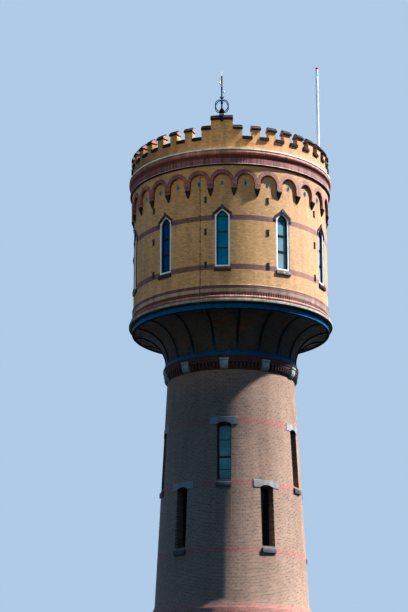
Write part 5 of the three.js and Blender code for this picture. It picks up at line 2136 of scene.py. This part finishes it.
class TOWER_OT_cornice(bpy.types.Operator):
    """Soldier course, cove, roll and lead"""

    bl_idname = "tower.cornice"
    bl_label = "Cornice"

    def execute(self, context):
        build_cornice()
        return {"FINISHED"}


class TOWER_OT_parapet(bpy.types.Operator):
    """Merlons and tile copings"""

    bl_idname = "tower.parapet"
    bl_label = "Parapet"

    def execute(self, context):
        build_parapet()
        return {"FINISHED"}


class TOWER_OT_gable(bpy.types.Operator):
    """Stepped gable at the front"""

    bl_idname = "tower.gable"
    bl_label = "Gable"

    def execute(self, context):
        build_gable()
        return {"FINISHED"}


class TOWER_OT_roof(bpy.types.Operator):
    """Low zinc cone with standing seams"""

    bl_idname = "tower.roof"
    bl_label = "Roof"

    def execute(self, context):
        build_roof()
        return {"FINISHED"}


class TOWER_OT_flagpole(bpy.types.Operator):
    """White mast with a red cap, brackets and a line"""

    bl_idname = "tower.flagpole"
    bl_label = "Flagpole"

    def execute(self, context):
        build_flagpole()
        return {"FINISHED"}


class TOWER_OT_stand(bpy.types.Operator):
    """Stone block, rod, crown and six scrolls"""

    bl_idname = "tower.stand"
    bl_label = "Vane stand"

    def execute(self, context):
        build_vane_stand()
        return {"FINISHED"}


class TOWER_OT_vane(bpy.types.Operator):
    """Gilt leaf and ball that turn on the rod"""

    bl_idname = "tower.vane"
    bl_label = "Weathervane"

    def execute(self, context):
        build_vane()
        return {"FINISHED"}


OPERATORS = (
    TOWER_OT_stage,
    TOWER_OT_shaft,
    TOWER_OT_dressings,
    TOWER_OT_shaft_windows,
    TOWER_OT_foot,
    TOWER_OT_door,
    TOWER_OT_inside,
    TOWER_OT_neck,
    TOWER_OT_bowl,
    TOWER_OT_cradle,
    TOWER_OT_drum_foot,
    TOWER_OT_drum,
    TOWER_OT_drum_windows,
    TOWER_OT_drum_dressings,
    TOWER_OT_arcade,
    TOWER_OT_fittings,
    TOWER_OT_cornice,
    TOWER_OT_parapet,
    TOWER_OT_gable,
    TOWER_OT_roof,
    TOWER_OT_flagpole,
    TOWER_OT_stand,
    TOWER_OT_vane,
)


class TOWER_PT_pieces(bpy.types.Panel):
    """Sizes, colours and pieces of the water tower"""

    bl_idname = "TOWER_PT_pieces"
    bl_label = "Water tower"
    bl_space_type = "VIEW_3D"
    bl_region_type = "UI"
    bl_category = "Water tower"

    def draw(self, context):
        layout = self.layout
        for operator in OPERATORS:
            layout.operator(operator.bl_idname)
        for group in (context.scene.tower_colours, context.scene.tower_view):
            box = layout.box()
            for name in group.bl_rna.properties.keys():
                if name not in ("rna_type", "name"):
                    box.prop(group, name)


CLASSES = (TowerColours, TowerView, *OPERATORS, TOWER_PT_pieces)


def register():
    for cls in CLASSES:
        bpy.utils.register_class(cls)
    bpy.types.Scene.tower_colours = bpy.props.PointerProperty(type=TowerColours)
    bpy.types.Scene.tower_view = bpy.props.PointerProperty(type=TowerView)


def unregister():
    del bpy.types.Scene.tower_view
    del bpy.types.Scene.tower_colours
    for cls in reversed(CLASSES):
        bpy.utils.unregister_class(cls)


def main():
    register()
    for operator in OPERATORS:
        group, name = operator.bl_idname.split(".")
        getattr(getattr(bpy.ops, group), name)()
    bpy.context.view_layer.update()


if __name__ == "__main__":
    main()
